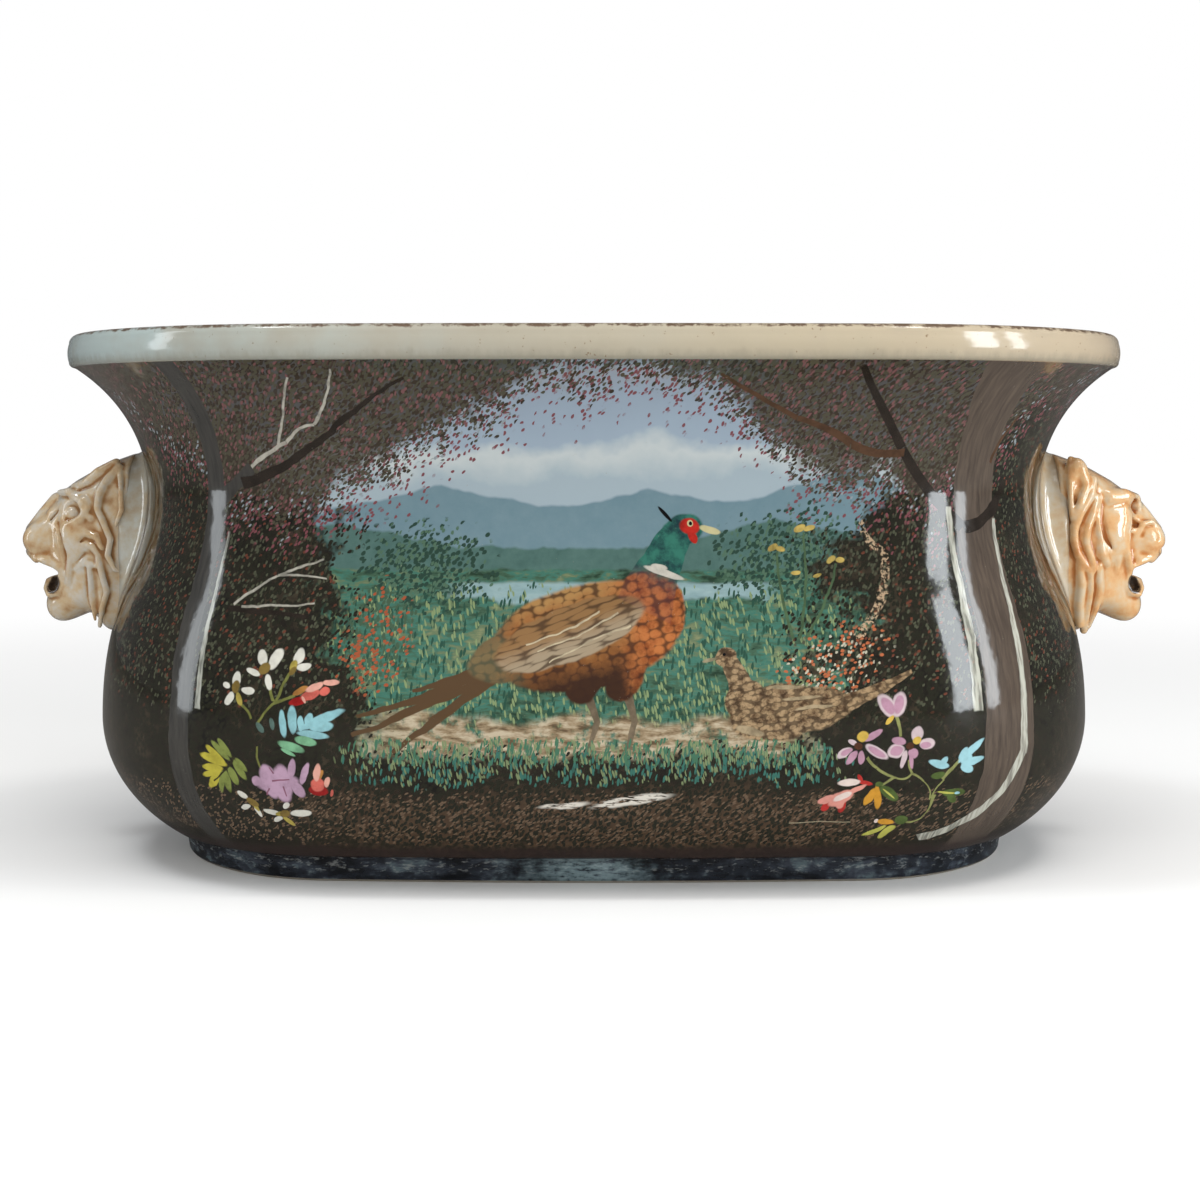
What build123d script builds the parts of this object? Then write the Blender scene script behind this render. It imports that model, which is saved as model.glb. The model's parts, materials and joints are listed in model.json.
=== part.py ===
"""Oval glazed cachepot with a rolled rim, a foot ring and a lion mask luted on each end.

Millimetres, +Z up, +X along the pot. The origin is the centre of the foot on the table.
Every horizontal outline is one oval of eight tangent arcs, moved outwards by an offset:
two end arcs, two long front and back arcs, and four corner arcs between them.
"""
import os
from math import asin, cos, degrees, radians, sin, sqrt, tan

from build123d import *

# Oval of the foot, which every other level is offset from
FOOT_LENGTH = 298.0
FOOT_DEPTH = 147.0
CORNER_RADIUS = 54.0
END_ANGLE = 57.0
FRONT_ANGLE = 86.0

# Heights above the table, with the belly's and the neck's levels as shares of the height
HEIGHT = 185.0
FOOT_HEIGHT = 9.5
RIM_HEIGHT = 11.5
BELLY_SHARE = 0.27
NECK_SHARE = 0.703

# Wall: how far each level stands out from the foot oval
WALL = 7.0
BELLY_OFFSET = 29.3
BELLY_DROOP = 65.0
NECK_OFFSET = 13.2
RIM_SEAT_OFFSET = 39.0
FLARE_SLOPE = 33.0
# Depth of the belly's underside as a share of its level
BELLY_DEPTH_SHARE = 1.03
# Curve handles as shares of the rise: belly to neck, then neck to rim
BELLY_HANDLE_SHARE = 0.5375
NECK_LOWER_SHARE = 0.3625
NECK_UPPER_SHARE = 0.115
FLARE_HANDLE_SHARE = 0.655

# Floor slab, let into the wall's toe
FLOOR_THICKNESS = 7.0
FLOOR_INSET = 5.0

# Foot ring
FOOT_RING_WIDTH = 11.0
FOOT_TAPER = 1.2
FOOT_ROUND = 2.5

# Rim roll, keyed over a tongue on the wall's top edge
RIM_OVERHANG = 2.0
RIM_BULGE = 0.5
RIM_LOWER_ROUND = 1.8
RIM_UPPER_ROUND = 3.2
RIM_TOP_FLAT = 3.0
TONGUE_WIDTH = 4.0
TONGUE_HEIGHT = 2.0
TONGUE_SETBACK = 6.0

# Slip left between curved clay faces when a piece is luted on
SLIP_SEAM = 0.25
SECTION_OVERRUN = 12.0

# Lion mask, measured from the neck of the wall outwards and from the chin upwards
MASK_REACH = 47.0
MASK_WIDTH = 46.0
# Chin level and height of the mask as shares of the pot's height
MASK_BASE_SHARE = 0.4405
MASK_HEIGHT_SHARE = 0.3325
SEAT_REACH = 9.0
SEAT_WIDTH = 39.0
SEAT_ROUND = 3.0
STUB_DIAMETER = 20.0
STUB_LENGTH = 5.0
STUB_CLEARANCE = 0.3
# Seat height, mouth notch radius and rise as shares of the mask's height, tongue of its width
SEAT_HEIGHT_SHARE = 0.975
MOUTH_RADIUS_SHARE = 0.0553
MOUTH_RISE_SHARE = 0.1463
TONGUE_SHARE = 0.152

# Cross-section of the mask's body, crown to throat, one side: across, up
HEAD_OUTLINE_SHARES = ((0.55, 0.95), (0.93, 0.73), (1.0, 0.45), (0.78, 0.17), (0.40, 0.03))
# Stations of a loft: along the reach, lowest, highest, half width
SKULL_SHARES = (
    (0.19, -0.06, 0.995, 0.44),
    (0.32, -0.05, 0.96, 0.485),
    (0.45, 0.01, 0.905, 0.46),
    (0.57, 0.05, 0.85, 0.385),
    (0.67, 0.22, 0.79, 0.29),
)
MUZZLE_SHARES = (
    (0.53, 0.30, 0.845, 0.27),
    (0.68, 0.325, 0.785, 0.245),
    (0.78, 0.335, 0.71, 0.225),
    (0.88, 0.355, 0.635, 0.21),
    (0.96, 0.41, 0.565, 0.165),
    (1.0, 0.47, 0.52, 0.095),
)
JAW_SHARES = (
    (0.44, 0.05, 0.33, 0.28),
    (0.57, 0.025, 0.318, 0.25),
    (0.69, 0.005, 0.292, 0.215),
    (0.78, 0.02, 0.262, 0.175),
    (0.817, 0.075, 0.235, 0.12),
)
# Bottom of the notch in the lower jaw: along the reach, up
MOUTH_SHARES = (0.72, 0.165)
# Rounded forms: centre along, across, up; then half sizes along, across, up
ROUND_FORM_SHARES = (
    (0.865, 0.125, 0.435, 0.135, 0.125, 0.095),
    (0.930, 0.035, 0.565, 0.075, 0.085, 0.045),
    (0.635, 0.170, 0.735, 0.130, 0.095, 0.050),
    (0.625, 0.195, 0.655, 0.070, 0.065, 0.050),
    (0.520, 0.285, 0.450, 0.160, 0.150, 0.160),
)
EAR_SHARES = (0.285, 0.405, 0.795, 0.110, 0.100, 0.160)
EAR_CUP_SHARES = (0.305, 0.475, 0.780, 0.075, 0.085, 0.125)
# Mane locks: root along, across, up; tip along, across, up; half girth along the reach
LOCK_SHARES = (
    (0.20, 0.10, 0.975, 0.50, 0.13, 0.870, 0.085),
    (0.32, 0.27, 0.900, 0.47, 0.41, 0.600, 0.095),
    (0.39, 0.40, 0.720, 0.45, 0.43, 0.380, 0.100),
    (0.40, 0.45, 0.520, 0.42, 0.36, 0.160, 0.100),
    (0.37, 0.40, 0.330, 0.36, 0.20, -0.030, 0.105),
    (0.41, 0.24, 0.200, 0.38, 0.06, -0.030, 0.090),
    (0.23, 0.45, 0.640, 0.30, 0.50, 0.300, 0.100),
    (0.26, 0.49, 0.440, 0.31, 0.42, 0.060, 0.100),
)

foot_end = FOOT_LENGTH / 2
foot_side = FOOT_DEPTH / 2
belly_z = BELLY_SHARE * HEIGHT
neck_z = NECK_SHARE * HEIGHT
rim_seat_z = HEIGHT - RIM_HEIGHT
belly_depth = BELLY_DEPTH_SHARE * belly_z
mask_base_z = MASK_BASE_SHARE * HEIGHT
mask_height = MASK_HEIGHT_SHARE * HEIGHT
floor_top_z = FOOT_HEIGHT + FLOOR_THICKNESS
neck_x = foot_end + NECK_OFFSET


def oval_arcs():
    """The eight arcs: centre x, centre y, radius, start angle and sweep in degrees."""
    end = radians(END_ANGLE)
    front = radians(FRONT_ANGLE)
    length = foot_end - CORNER_RADIUS
    depth = foot_side - CORNER_RADIUS
    lean_end = tan(end / 2)
    lean_front = tan((radians(90) - front) / 2)
    corner_x = (length - lean_end * depth) / (1 - lean_end * lean_front)
    corner_y = (depth - lean_front * length) / (1 - lean_end * lean_front)
    end_radius = CORNER_RADIUS + corner_y / sin(end)
    front_radius = CORNER_RADIUS + corner_x / cos(front)
    end_x = foot_end - end_radius
    front_y = foot_side - front_radius
    turn = FRONT_ANGLE - END_ANGLE
    return (
        (end_x, 0, end_radius, -END_ANGLE, 2 * END_ANGLE),
        (corner_x, corner_y, CORNER_RADIUS, END_ANGLE, turn),
        (0, front_y, front_radius, FRONT_ANGLE, 180 - 2 * FRONT_ANGLE),
        (-corner_x, corner_y, CORNER_RADIUS, 180 - FRONT_ANGLE, turn),
        (-end_x, 0, end_radius, 180 - END_ANGLE, 2 * END_ANGLE),
        (-corner_x, -corner_y, CORNER_RADIUS, 180 + END_ANGLE, turn),
        (0, -front_y, front_radius, 180 + FRONT_ANGLE, 180 - 2 * FRONT_ANGLE),
        (corner_x, -corner_y, CORNER_RADIUS, 360 - FRONT_ANGLE, turn),
    )


def oval_ring(section, chosen=range(8)):
    """Turn a section, drawn as offset and height, about each arc's centre in turn."""
    arcs = oval_arcs()
    ring = Part()
    for number in chosen:
        x, y, radius, start, sweep = arcs[number]
        out = (cos(radians(start)), sin(radians(start)), 0)
        plane = Plane(origin=(x, y, 0), x_dir=out, z_dir=(out[1], -out[0], 0))
        ring += revolve(plane * Pos(radius, 0) * section, Axis((x, y, 0), (0, 0, 1)), sweep)
    return ring


def oval_face(offset):
    """Flat oval, as far outside the foot oval as the offset says."""
    outline = Curve()
    for x, y, radius, start, sweep in oval_arcs():
        outline += CenterArc((x, y), radius + offset, start, sweep)
    return make_face(outline)


def wall_curve(inset):
    """The wall's line from belly to rim seat, moved inwards: belly point, line, rim point."""
    slope = radians(FLARE_SLOPE)
    run = (cos(slope), sin(slope))
    belly = (BELLY_OFFSET - inset, belly_z)
    neck = (NECK_OFFSET - inset, neck_z)
    rim = (RIM_SEAT_OFFSET - inset / run[1], rim_seat_z)
    lower_rise = neck_z - belly_z
    upper_rise = rim_seat_z - neck_z
    flare_handle = FLARE_HANDLE_SHARE * upper_rise
    line = Bezier(
        belly,
        (belly[0], belly_z + BELLY_HANDLE_SHARE * lower_rise),
        (neck[0], neck_z - NECK_LOWER_SHARE * lower_rise),
        neck,
    ) + Bezier(
        neck,
        (neck[0], neck_z + NECK_UPPER_SHARE * upper_rise + inset / 2),
        (rim[0] - flare_handle * run[0], rim[1] - flare_handle * run[1]),
        rim,
    )
    return belly, line, rim


def belly_arc(inset, low_z):
    """Elliptical underside of the belly from a low level up to the widest one."""
    across = BELLY_DROOP - inset
    up = belly_depth - inset
    centre = (BELLY_OFFSET - BELLY_DROOP, belly_z)
    drop = (belly_z - low_z) / up
    angle = degrees(asin(drop))
    low = (centre[0] + across * sqrt(1 - drop ** 2), low_z)
    return low, EllipticalCenterArc(centre, across, up, start_angle=-angle, arc_size=angle)


def tongue(clearance):
    """Corners of the key on the wall's top edge, outer side first."""
    outer = RIM_SEAT_OFFSET - TONGUE_SETBACK + clearance
    inner = RIM_SEAT_OFFSET - TONGUE_SETBACK - TONGUE_WIDTH - clearance
    top = rim_seat_z + TONGUE_HEIGHT + clearance
    return (outer, rim_seat_z), (outer, top), (inner, top), (inner, rim_seat_z)


def body_wall():
    """Pressed wall with its toe at the floor and its tongue at the top."""
    foot_outer, outer_arc = belly_arc(0, FOOT_HEIGHT)
    floor_inner, inner_arc = belly_arc(WALL, floor_top_z)
    _, outer_line, rim_outer = wall_curve(0)
    _, inner_line, rim_inner = wall_curve(WALL)
    section = (
        outer_arc
        + outer_line
        + Polyline(rim_outer, *tongue(0), rim_inner)
        + inner_line
        + inner_arc
        + Polyline(floor_inner, (-FLOOR_INSET, floor_top_z), (-FLOOR_INSET, FOOT_HEIGHT), foot_outer)
    )
    return oval_ring(make_face(section))


def floor_slab():
    """Rolled slab that fills the oval between the wall's toes, flush with them."""
    return Pos(0, 0, FOOT_HEIGHT) * extrude(oval_face(-FLOOR_INSET), FLOOR_THICKNESS)


def foot_ring():
    """Low ring under the seam of wall and floor, rounded where it meets the table."""
    inner = -FOOT_RING_WIDTH
    outer_foot = -FOOT_TAPER
    tread = outer_foot - FOOT_ROUND
    heel = inner + FOOT_ROUND
    bend = FOOT_ROUND * (1 - cos(radians(45)))
    section = (
        Line((0, FOOT_HEIGHT), (outer_foot, FOOT_ROUND))
        + ThreePointArc((outer_foot, FOOT_ROUND), (outer_foot - bend, bend), (tread, 0))
        + Line((tread, 0), (heel, 0))
        + ThreePointArc((heel, 0), (inner + bend, bend), (inner, FOOT_ROUND))
        + Polyline((inner, FOOT_ROUND), (inner, FOOT_HEIGHT), (0, FOOT_HEIGHT))
    )
    return oval_ring(make_face(section))


def rim_band():
    """Thick roll pressed down over the tongue, full at the front and soft at its edges."""
    _, _, rim_inner = wall_curve(WALL)
    slope = radians(FLARE_SLOPE)
    face = RIM_SEAT_OFFSET + RIM_OVERHANG
    top = HEIGHT
    low_bend = RIM_LOWER_ROUND * (1 - cos(radians(45)))
    top_bend = RIM_UPPER_ROUND * (1 - cos(radians(45)))
    shoulder = (face, top - RIM_UPPER_ROUND)
    crest = (face - RIM_UPPER_ROUND, top)
    inside = (crest[0] - RIM_TOP_FLAT, top)
    lip = (face - RIM_LOWER_ROUND, rim_seat_z)
    chin = (face, rim_seat_z + RIM_LOWER_ROUND)
    section = (
        Polyline(rim_inner, *reversed(tongue(SLIP_SEAM)), lip)
        + ThreePointArc(lip, (face - low_bend, rim_seat_z + low_bend), chin)
        + ThreePointArc(chin, (face + RIM_BULGE, (chin[1] + shoulder[1]) / 2), shoulder)
        + ThreePointArc(shoulder, (face - top_bend, top - top_bend), crest)
        + Line(crest, inside)
        + Bezier(
            inside,
            (inside[0] - RIM_UPPER_ROUND, top),
            (rim_inner[0] + RIM_HEIGHT / 2 * cos(slope), rim_seat_z + RIM_HEIGHT / 2 * sin(slope)),
            rim_inner,
        )
    )
    return oval_ring(make_face(section))


def wall_envelope(seam):
    """Solid stand-in for the right end of the pot, grown by the slip seam, to cut seats with."""
    foot_outer, outer_arc = belly_arc(-seam, FOOT_HEIGHT)
    _, outer_line, rim_outer = wall_curve(-seam)
    core = -SECTION_OVERRUN
    section = (
        outer_arc
        + outer_line
        + Polyline(rim_outer, (core, rim_seat_z), (core, FOOT_HEIGHT), foot_outer)
    )
    return oval_ring(make_face(section), chosen=(7, 0, 1))


def on_mask(along, across, up):
    """A place on the right-hand mask from its shares of reach, width and height."""
    return Vector(
        neck_x + along * MASK_REACH,
        across * MASK_WIDTH,
        mask_base_z + up * mask_height,
    )


def head_loft(stations):
    """Skin over egg-shaped sections that stand along the mask's reach."""
    faces = []
    for along, low, high, half in stations:
        side = [(half * y, low + (high - low) * z) for y, z in HEAD_OUTLINE_SHARES]
        ring = [(0, high)] + side + [(0, low)] + [(-y, z) for y, z in reversed(side)]
        points = [on_mask(along, y, z) for y, z in ring]
        faces.append(make_face(Spline(points, periodic=True)))
    return loft(faces)


def round_form(shares, side=1):
    """Ellipsoid at a place on the mask, sized by shares of reach, width and height."""
    along, across, up, long, wide, tall = shares
    ball = scale(Sphere(1), by=(long * MASK_REACH, wide * MASK_WIDTH, tall * mask_height))
    return Pos(on_mask(along, side * across, up)) * ball


def mane_lock(shares, side=1):
    """Spindle with two pointed ends, one full curve turned about its chord."""
    root = on_mask(shares[0], side * shares[1], shares[2])
    tip = on_mask(shares[3], side * shares[4], shares[5])
    length = (tip - root).length
    girth = shares[6] * MASK_REACH
    handle = girth * 4 / 3
    half_section = make_face(
        Bezier((0, 0), (handle, length / 4), (handle, length * 3 / 4), (0, length))
        + Line((0, length), (0, 0))
    )
    spindle = revolve(Plane.XZ * half_section, Axis.Z)
    return Plane(origin=root, z_dir=tip - root) * spindle


def mask_stub(clearance):
    """Round stub on the seat that enters the hollow back of the mask."""
    radius = STUB_DIAMETER / 2 + clearance
    length = STUB_LENGTH + clearance
    base = Vector(neck_x + SEAT_REACH, 0, mask_base_z + mask_height / 2)
    return extrude(Plane(origin=base, z_dir=(1, 0, 0)) * Circle(radius), length)


def head_seat():
    """Smooth clay pad built up on the end wall, with a flat front for the mask."""
    middle = Vector(neck_x + SEAT_REACH, 0, mask_base_z + mask_height / 2)
    front = Plane(origin=middle, x_dir=(0, 1, 0), z_dir=(1, 0, 0))
    outline = front * Ellipse(SEAT_WIDTH / 2, SEAT_HEIGHT_SHARE * mask_height / 2)
    pad = extrude(outline, -(SEAT_REACH + SECTION_OVERRUN / 2))
    rounded = fillet(pad.edges().sort_by(Axis.X)[-1], SEAT_ROUND)
    return rounded + mask_stub(0) - wall_envelope(SLIP_SEAM)


def mouth_notch():
    """Both side notches that open the lower jaw behind its front lip, tongue left between."""
    x, z = MOUTH_SHARES
    middle = on_mask(x, 0, z)
    radius = MOUTH_RADIUS_SHARE * mask_height
    rise = MOUTH_RISE_SHARE * mask_height
    profile = Plane(origin=middle, x_dir=(1, 0, 0), z_dir=(0, -1, 0)) * make_face(
        ThreePointArc((-radius, 0), (0, -radius), (radius, 0))
        + Polyline((radius, 0), (radius, rise), (-radius, rise), (-radius, 0))
    )
    notch = extrude(profile, MASK_WIDTH / 2, both=True)
    tongue_block = Pos(middle) * Box(MASK_REACH, TONGUE_SHARE * MASK_WIDTH, mask_height)
    return notch - tongue_block


def lion_mask():
    """Pressed lion mask with open jaws, cupped ears and a mane of pointed locks."""
    head = head_loft(SKULL_SHARES)
    head += head_loft(MUZZLE_SHARES)
    head += head_loft(JAW_SHARES)
    head -= mouth_notch()
    for side in (1, -1):
        for shares in ROUND_FORM_SHARES:
            head += round_form(shares, side)
        head += round_form(EAR_SHARES, side) - round_form(EAR_CUP_SHARES, side)
        for shares in LOCK_SHARES:
            head += mane_lock(shares, side)
    behind = Pos(neck_x + SEAT_REACH, 0, mask_base_z + mask_height / 2) * Box(
        MASK_REACH, 2 * MASK_WIDTH, 2 * mask_height, align=(Align.MAX, Align.CENTER, Align.CENTER)
    )
    return head - behind - mask_stub(STUB_CLEARANCE) - wall_envelope(SLIP_SEAM)


def write(name, piece):
    """Write one piece's solid to its own file."""
    export_step(piece, os.path.join("parts", name + ".step"))


os.makedirs("parts", exist_ok=True)
write("body_wall", body_wall())
write("floor_slab", floor_slab())
write("foot_ring", foot_ring())
write("rim_band", rim_band())
seat = head_seat()
mask = lion_mask()
write("head_seat_right", seat)
write("head_seat_left", mirror(seat, Plane.YZ))
write("lion_mask_right", mask)
write("lion_mask_left", mirror(mask, Plane.YZ))
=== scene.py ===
"""Looks of the oval glazed cachepot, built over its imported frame. Metres, +Z up."""
import json
import math

import bpy
import numpy as np
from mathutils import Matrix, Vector

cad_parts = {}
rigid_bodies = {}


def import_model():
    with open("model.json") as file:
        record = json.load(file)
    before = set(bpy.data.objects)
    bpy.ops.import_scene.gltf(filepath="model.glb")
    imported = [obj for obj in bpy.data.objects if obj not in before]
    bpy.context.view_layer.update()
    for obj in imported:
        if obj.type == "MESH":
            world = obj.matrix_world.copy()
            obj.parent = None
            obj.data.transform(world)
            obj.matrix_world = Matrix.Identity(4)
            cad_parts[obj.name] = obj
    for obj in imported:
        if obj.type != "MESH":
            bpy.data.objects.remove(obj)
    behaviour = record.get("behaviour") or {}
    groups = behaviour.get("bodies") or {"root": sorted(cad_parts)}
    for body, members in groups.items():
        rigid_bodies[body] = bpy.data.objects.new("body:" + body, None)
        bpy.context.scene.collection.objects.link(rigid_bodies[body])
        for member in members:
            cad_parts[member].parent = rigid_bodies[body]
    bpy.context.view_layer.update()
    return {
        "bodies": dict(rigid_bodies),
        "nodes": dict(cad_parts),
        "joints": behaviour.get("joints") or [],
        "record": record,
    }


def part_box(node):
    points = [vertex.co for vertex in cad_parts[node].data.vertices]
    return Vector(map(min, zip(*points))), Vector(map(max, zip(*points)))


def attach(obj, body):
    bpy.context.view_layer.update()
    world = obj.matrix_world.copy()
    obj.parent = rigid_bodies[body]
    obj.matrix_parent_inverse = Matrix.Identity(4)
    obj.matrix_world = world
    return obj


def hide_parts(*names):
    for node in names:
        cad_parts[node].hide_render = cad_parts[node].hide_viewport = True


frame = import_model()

MM = 0.001

# Body wall. One pressed wall of porcelain, thinner than a finger, that swells to a belly, draws
# in to a neck and flares to the mouth. It carries a dark gloss ground with an enamelled scene,
# and its toe is luted to the floor slab and to the foot ring.
foot_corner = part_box("foot_ring")[1]
CORNER_RADIUS = 54 * MM
END_ANGLE = math.radians(57)
FRONT_ANGLE = math.radians(86)
WALL = 7 * MM
BELLY_OFFSET = 29.3 * MM
BELLY_DROOP = 65 * MM
NECK_OFFSET = 13.2 * MM
MOUTH_OFFSET = 39 * MM
FLARE_SLOPE = math.radians(33)
FLOOR_INSET = 5 * MM
# Levels as shares of the height, and the curves' handles as shares of the rise that they span
BELLY_SHARE = 0.27
NECK_SHARE = 0.703
BELLY_DEPTH_SHARE = 1.03
BELLY_HANDLE = 0.5375
NECK_LOWER_HANDLE = 0.3625
NECK_UPPER_HANDLE = 0.115
FLARE_HANDLE = 0.655
pot_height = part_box("rim_band")[1].z
belly_z = BELLY_SHARE * pot_height
neck_z = NECK_SHARE * pot_height
toe_z = foot_corner.z
mouth_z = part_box("rim_band")[0].z
floor_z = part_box("floor_slab")[1].z
belly_depth = BELLY_DEPTH_SHARE * belly_z


def oval_arcs():
    """Centre, radius, first angle and sweep of the foot oval's eight tangent arcs."""
    length = foot_corner.x - CORNER_RADIUS
    depth = foot_corner.y - CORNER_RADIUS
    lean_end = math.tan(END_ANGLE / 2)
    lean_front = math.tan((math.pi / 2 - FRONT_ANGLE) / 2)
    x = (length - lean_end * depth) / (1 - lean_end * lean_front)
    y = (depth - lean_front * length) / (1 - lean_end * lean_front)
    end_radius = CORNER_RADIUS + y / math.sin(END_ANGLE)
    front_radius = CORNER_RADIUS + x / math.cos(FRONT_ANGLE)
    end_x = foot_corner.x - end_radius
    front_y = foot_corner.y - front_radius
    turn = FRONT_ANGLE - END_ANGLE
    side = math.pi - 2 * FRONT_ANGLE
    return (
        (end_x, 0, end_radius, -END_ANGLE, 2 * END_ANGLE),
        (x, y, CORNER_RADIUS, END_ANGLE, turn),
        (0, front_y, front_radius, FRONT_ANGLE, side),
        (-x, y, CORNER_RADIUS, math.pi - FRONT_ANGLE, turn),
        (-end_x, 0, end_radius, math.pi - END_ANGLE, 2 * END_ANGLE),
        (-x, -y, CORNER_RADIUS, math.pi + END_ANGLE, turn),
        (0, -front_y, front_radius, math.pi + FRONT_ANGLE, side),
        (x, -y, CORNER_RADIUS, 2 * math.pi - FRONT_ANGLE, turn),
    )


def oval_line(step=1.8 * MM):
    """Points round the foot oval, and the way out at each."""
    points, ways = [], []
    for x, y, radius, first, sweep in oval_arcs():
        count = 2 * int((radius + BELLY_OFFSET) * sweep / step / 2) + 2
        for angle in first + sweep * np.arange(count) / count:
            way = (math.cos(angle), math.sin(angle))
            ways.append(way)
            points.append((x + radius * way[0], y + radius * way[1]))
    return np.array(points), np.array(ways)


def bezier(points, count):
    """Points along a cubic curve, its last one left out."""
    t = np.arange(count)[:, None] / count
    a, b, c, d = np.array(points, float)
    return (1 - t) ** 3 * a + 3 * t * (1 - t) ** 2 * b + 3 * t * t * (1 - t) * c + t ** 3 * d


def wall_side(inset, low_z):
    """One face of the wall as offset and height, from a low level up to the mouth."""
    drop = (belly_z - low_z) / (belly_depth - inset)
    angle = np.linspace(-math.asin(drop), 0, 45)[:-1]
    reach = BELLY_OFFSET - BELLY_DROOP + (BELLY_DROOP - inset) * np.cos(angle)
    under = np.stack([reach, belly_z + (belly_depth - inset) * np.sin(angle)], 1)
    run = np.array([math.cos(FLARE_SLOPE), math.sin(FLARE_SLOPE)])
    belly = (BELLY_OFFSET - inset, belly_z)
    neck = (NECK_OFFSET - inset, neck_z)
    mouth = np.array([MOUTH_OFFSET - inset / run[1], mouth_z])
    lower = neck_z - belly_z
    upper = mouth_z - neck_z
    belly_knee = (belly[0], belly_z + BELLY_HANDLE * lower)
    neck_under = (neck[0], neck_z - NECK_LOWER_HANDLE * lower)
    rise = bezier((belly, belly_knee, neck_under, neck), 60)
    neck_over = (neck[0], neck_z + NECK_UPPER_HANDLE * upper + inset / 2)
    flare = bezier((neck, neck_over, mouth - FLARE_HANDLE * upper * run, mouth), 45)
    return np.concatenate([under, rise, flare, [mouth]])


def ring_mesh(name, section, sharp=38):
    """Object swept round the oval from a closed section of offset and height."""
    points, ways = oval_line()
    x, z = section.T
    if np.sum(x * np.roll(z, -1) - np.roll(x, -1) * z) < 0:
        section = section[::-1]
    around, along = len(points), len(section)
    corners = np.zeros((around, along, 3))
    corners[:, :, :2] = points[:, None, :] + ways[:, None, :] * section[None, :, :1]
    corners[:, :, 2] = section[None, :, 1]
    i, j = np.meshgrid(np.arange(around), np.arange(along), indexing="ij")
    after, above = (i + 1) % around, (j + 1) % along
    quads = np.stack([i * along + j, after * along + j, after * along + above, i * along + above], -1)
    mesh = bpy.data.meshes.new(name)
    mesh.from_pydata(corners.reshape(-1, 3).tolist(), [], quads.reshape(-1, 4).tolist())
    mesh.shade_smooth()
    mesh.set_sharp_from_angle(angle=math.radians(sharp))
    piece = bpy.data.objects.new(name, mesh)
    bpy.context.scene.collection.objects.link(piece)
    return piece


outer_side = wall_side(0, toe_z)
inner_side = wall_side(WALL, floor_z)
toe_inner = [(-FLOOR_INSET, floor_z), (-FLOOR_INSET, toe_z)]
section = np.concatenate([outer_side, inner_side[::-1], toe_inner])
body = ring_mesh("painted_body", section)
# How far round the wall each corner lies from the middle of the front or of the back,
# along a belt that lies between neck and belly
BELT_OFFSET = 20 * MM
points, ways = oval_line()
belt = points + BELT_OFFSET * ways
paces = np.linalg.norm(np.roll(belt, -1, 0) - belt, axis=1) / MM
girth = paces.sum()
way_round = np.cumsum(paces) - paces
way_round = way_round - way_round[np.argmin(ways[:, 1])]
way_round = np.abs((way_round + girth / 4) % (girth / 2) - girth / 4)
body.data.attributes.new("run_round", "FLOAT", "POINT")
body.data.attributes["run_round"].data.foreach_set("value", np.repeat(way_round, len(section)))


class Tint:
    """One socket of a glaze. Sums and comparisons written on it add nodes to that glaze."""

    def __init__(self, glaze, socket):
        self.glaze = glaze
        self.socket = socket

    def beside(self, output):
        """Another output of the same node."""
        return Tint(self.glaze, self.socket.node.outputs[output])

    def reckon(self, operation, *values):
        settings = {"operation": operation}
        return self.glaze.add("ShaderNodeMath", settings, dict(enumerate(values)))

    def __add__(self, other):
        return self.reckon("ADD", self, other)

    def __sub__(self, other):
        return self.reckon("SUBTRACT", self, other)

    def __rsub__(self, other):
        return self.reckon("SUBTRACT", other, self)

    def __mul__(self, other):
        return self.reckon("MULTIPLY", self, other)

    def __truediv__(self, other):
        return self.reckon("DIVIDE", self, other)

    def __neg__(self):
        return self.reckon("MULTIPLY", self, -1)

    def __abs__(self):
        return self.reckon("ABSOLUTE", self)

    __radd__ = __add__
    __rmul__ = __mul__

    def least(self, other):
        return self.reckon("MINIMUM", self, other)

    def most(self, other):
        return self.reckon("MAXIMUM", self, other)

    def sign(self):
        return self.reckon("SIGN", self)

    def step(self, low, high):
        """0 below low, 1 above high, eased between."""
        return self.glaze.add(
            "ShaderNodeMapRange",
            {"interpolation_type": "SMOOTHSTEP", "clamp": False},
            {"Value": self, "From Min": low, "From Max": high},
        )


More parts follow.
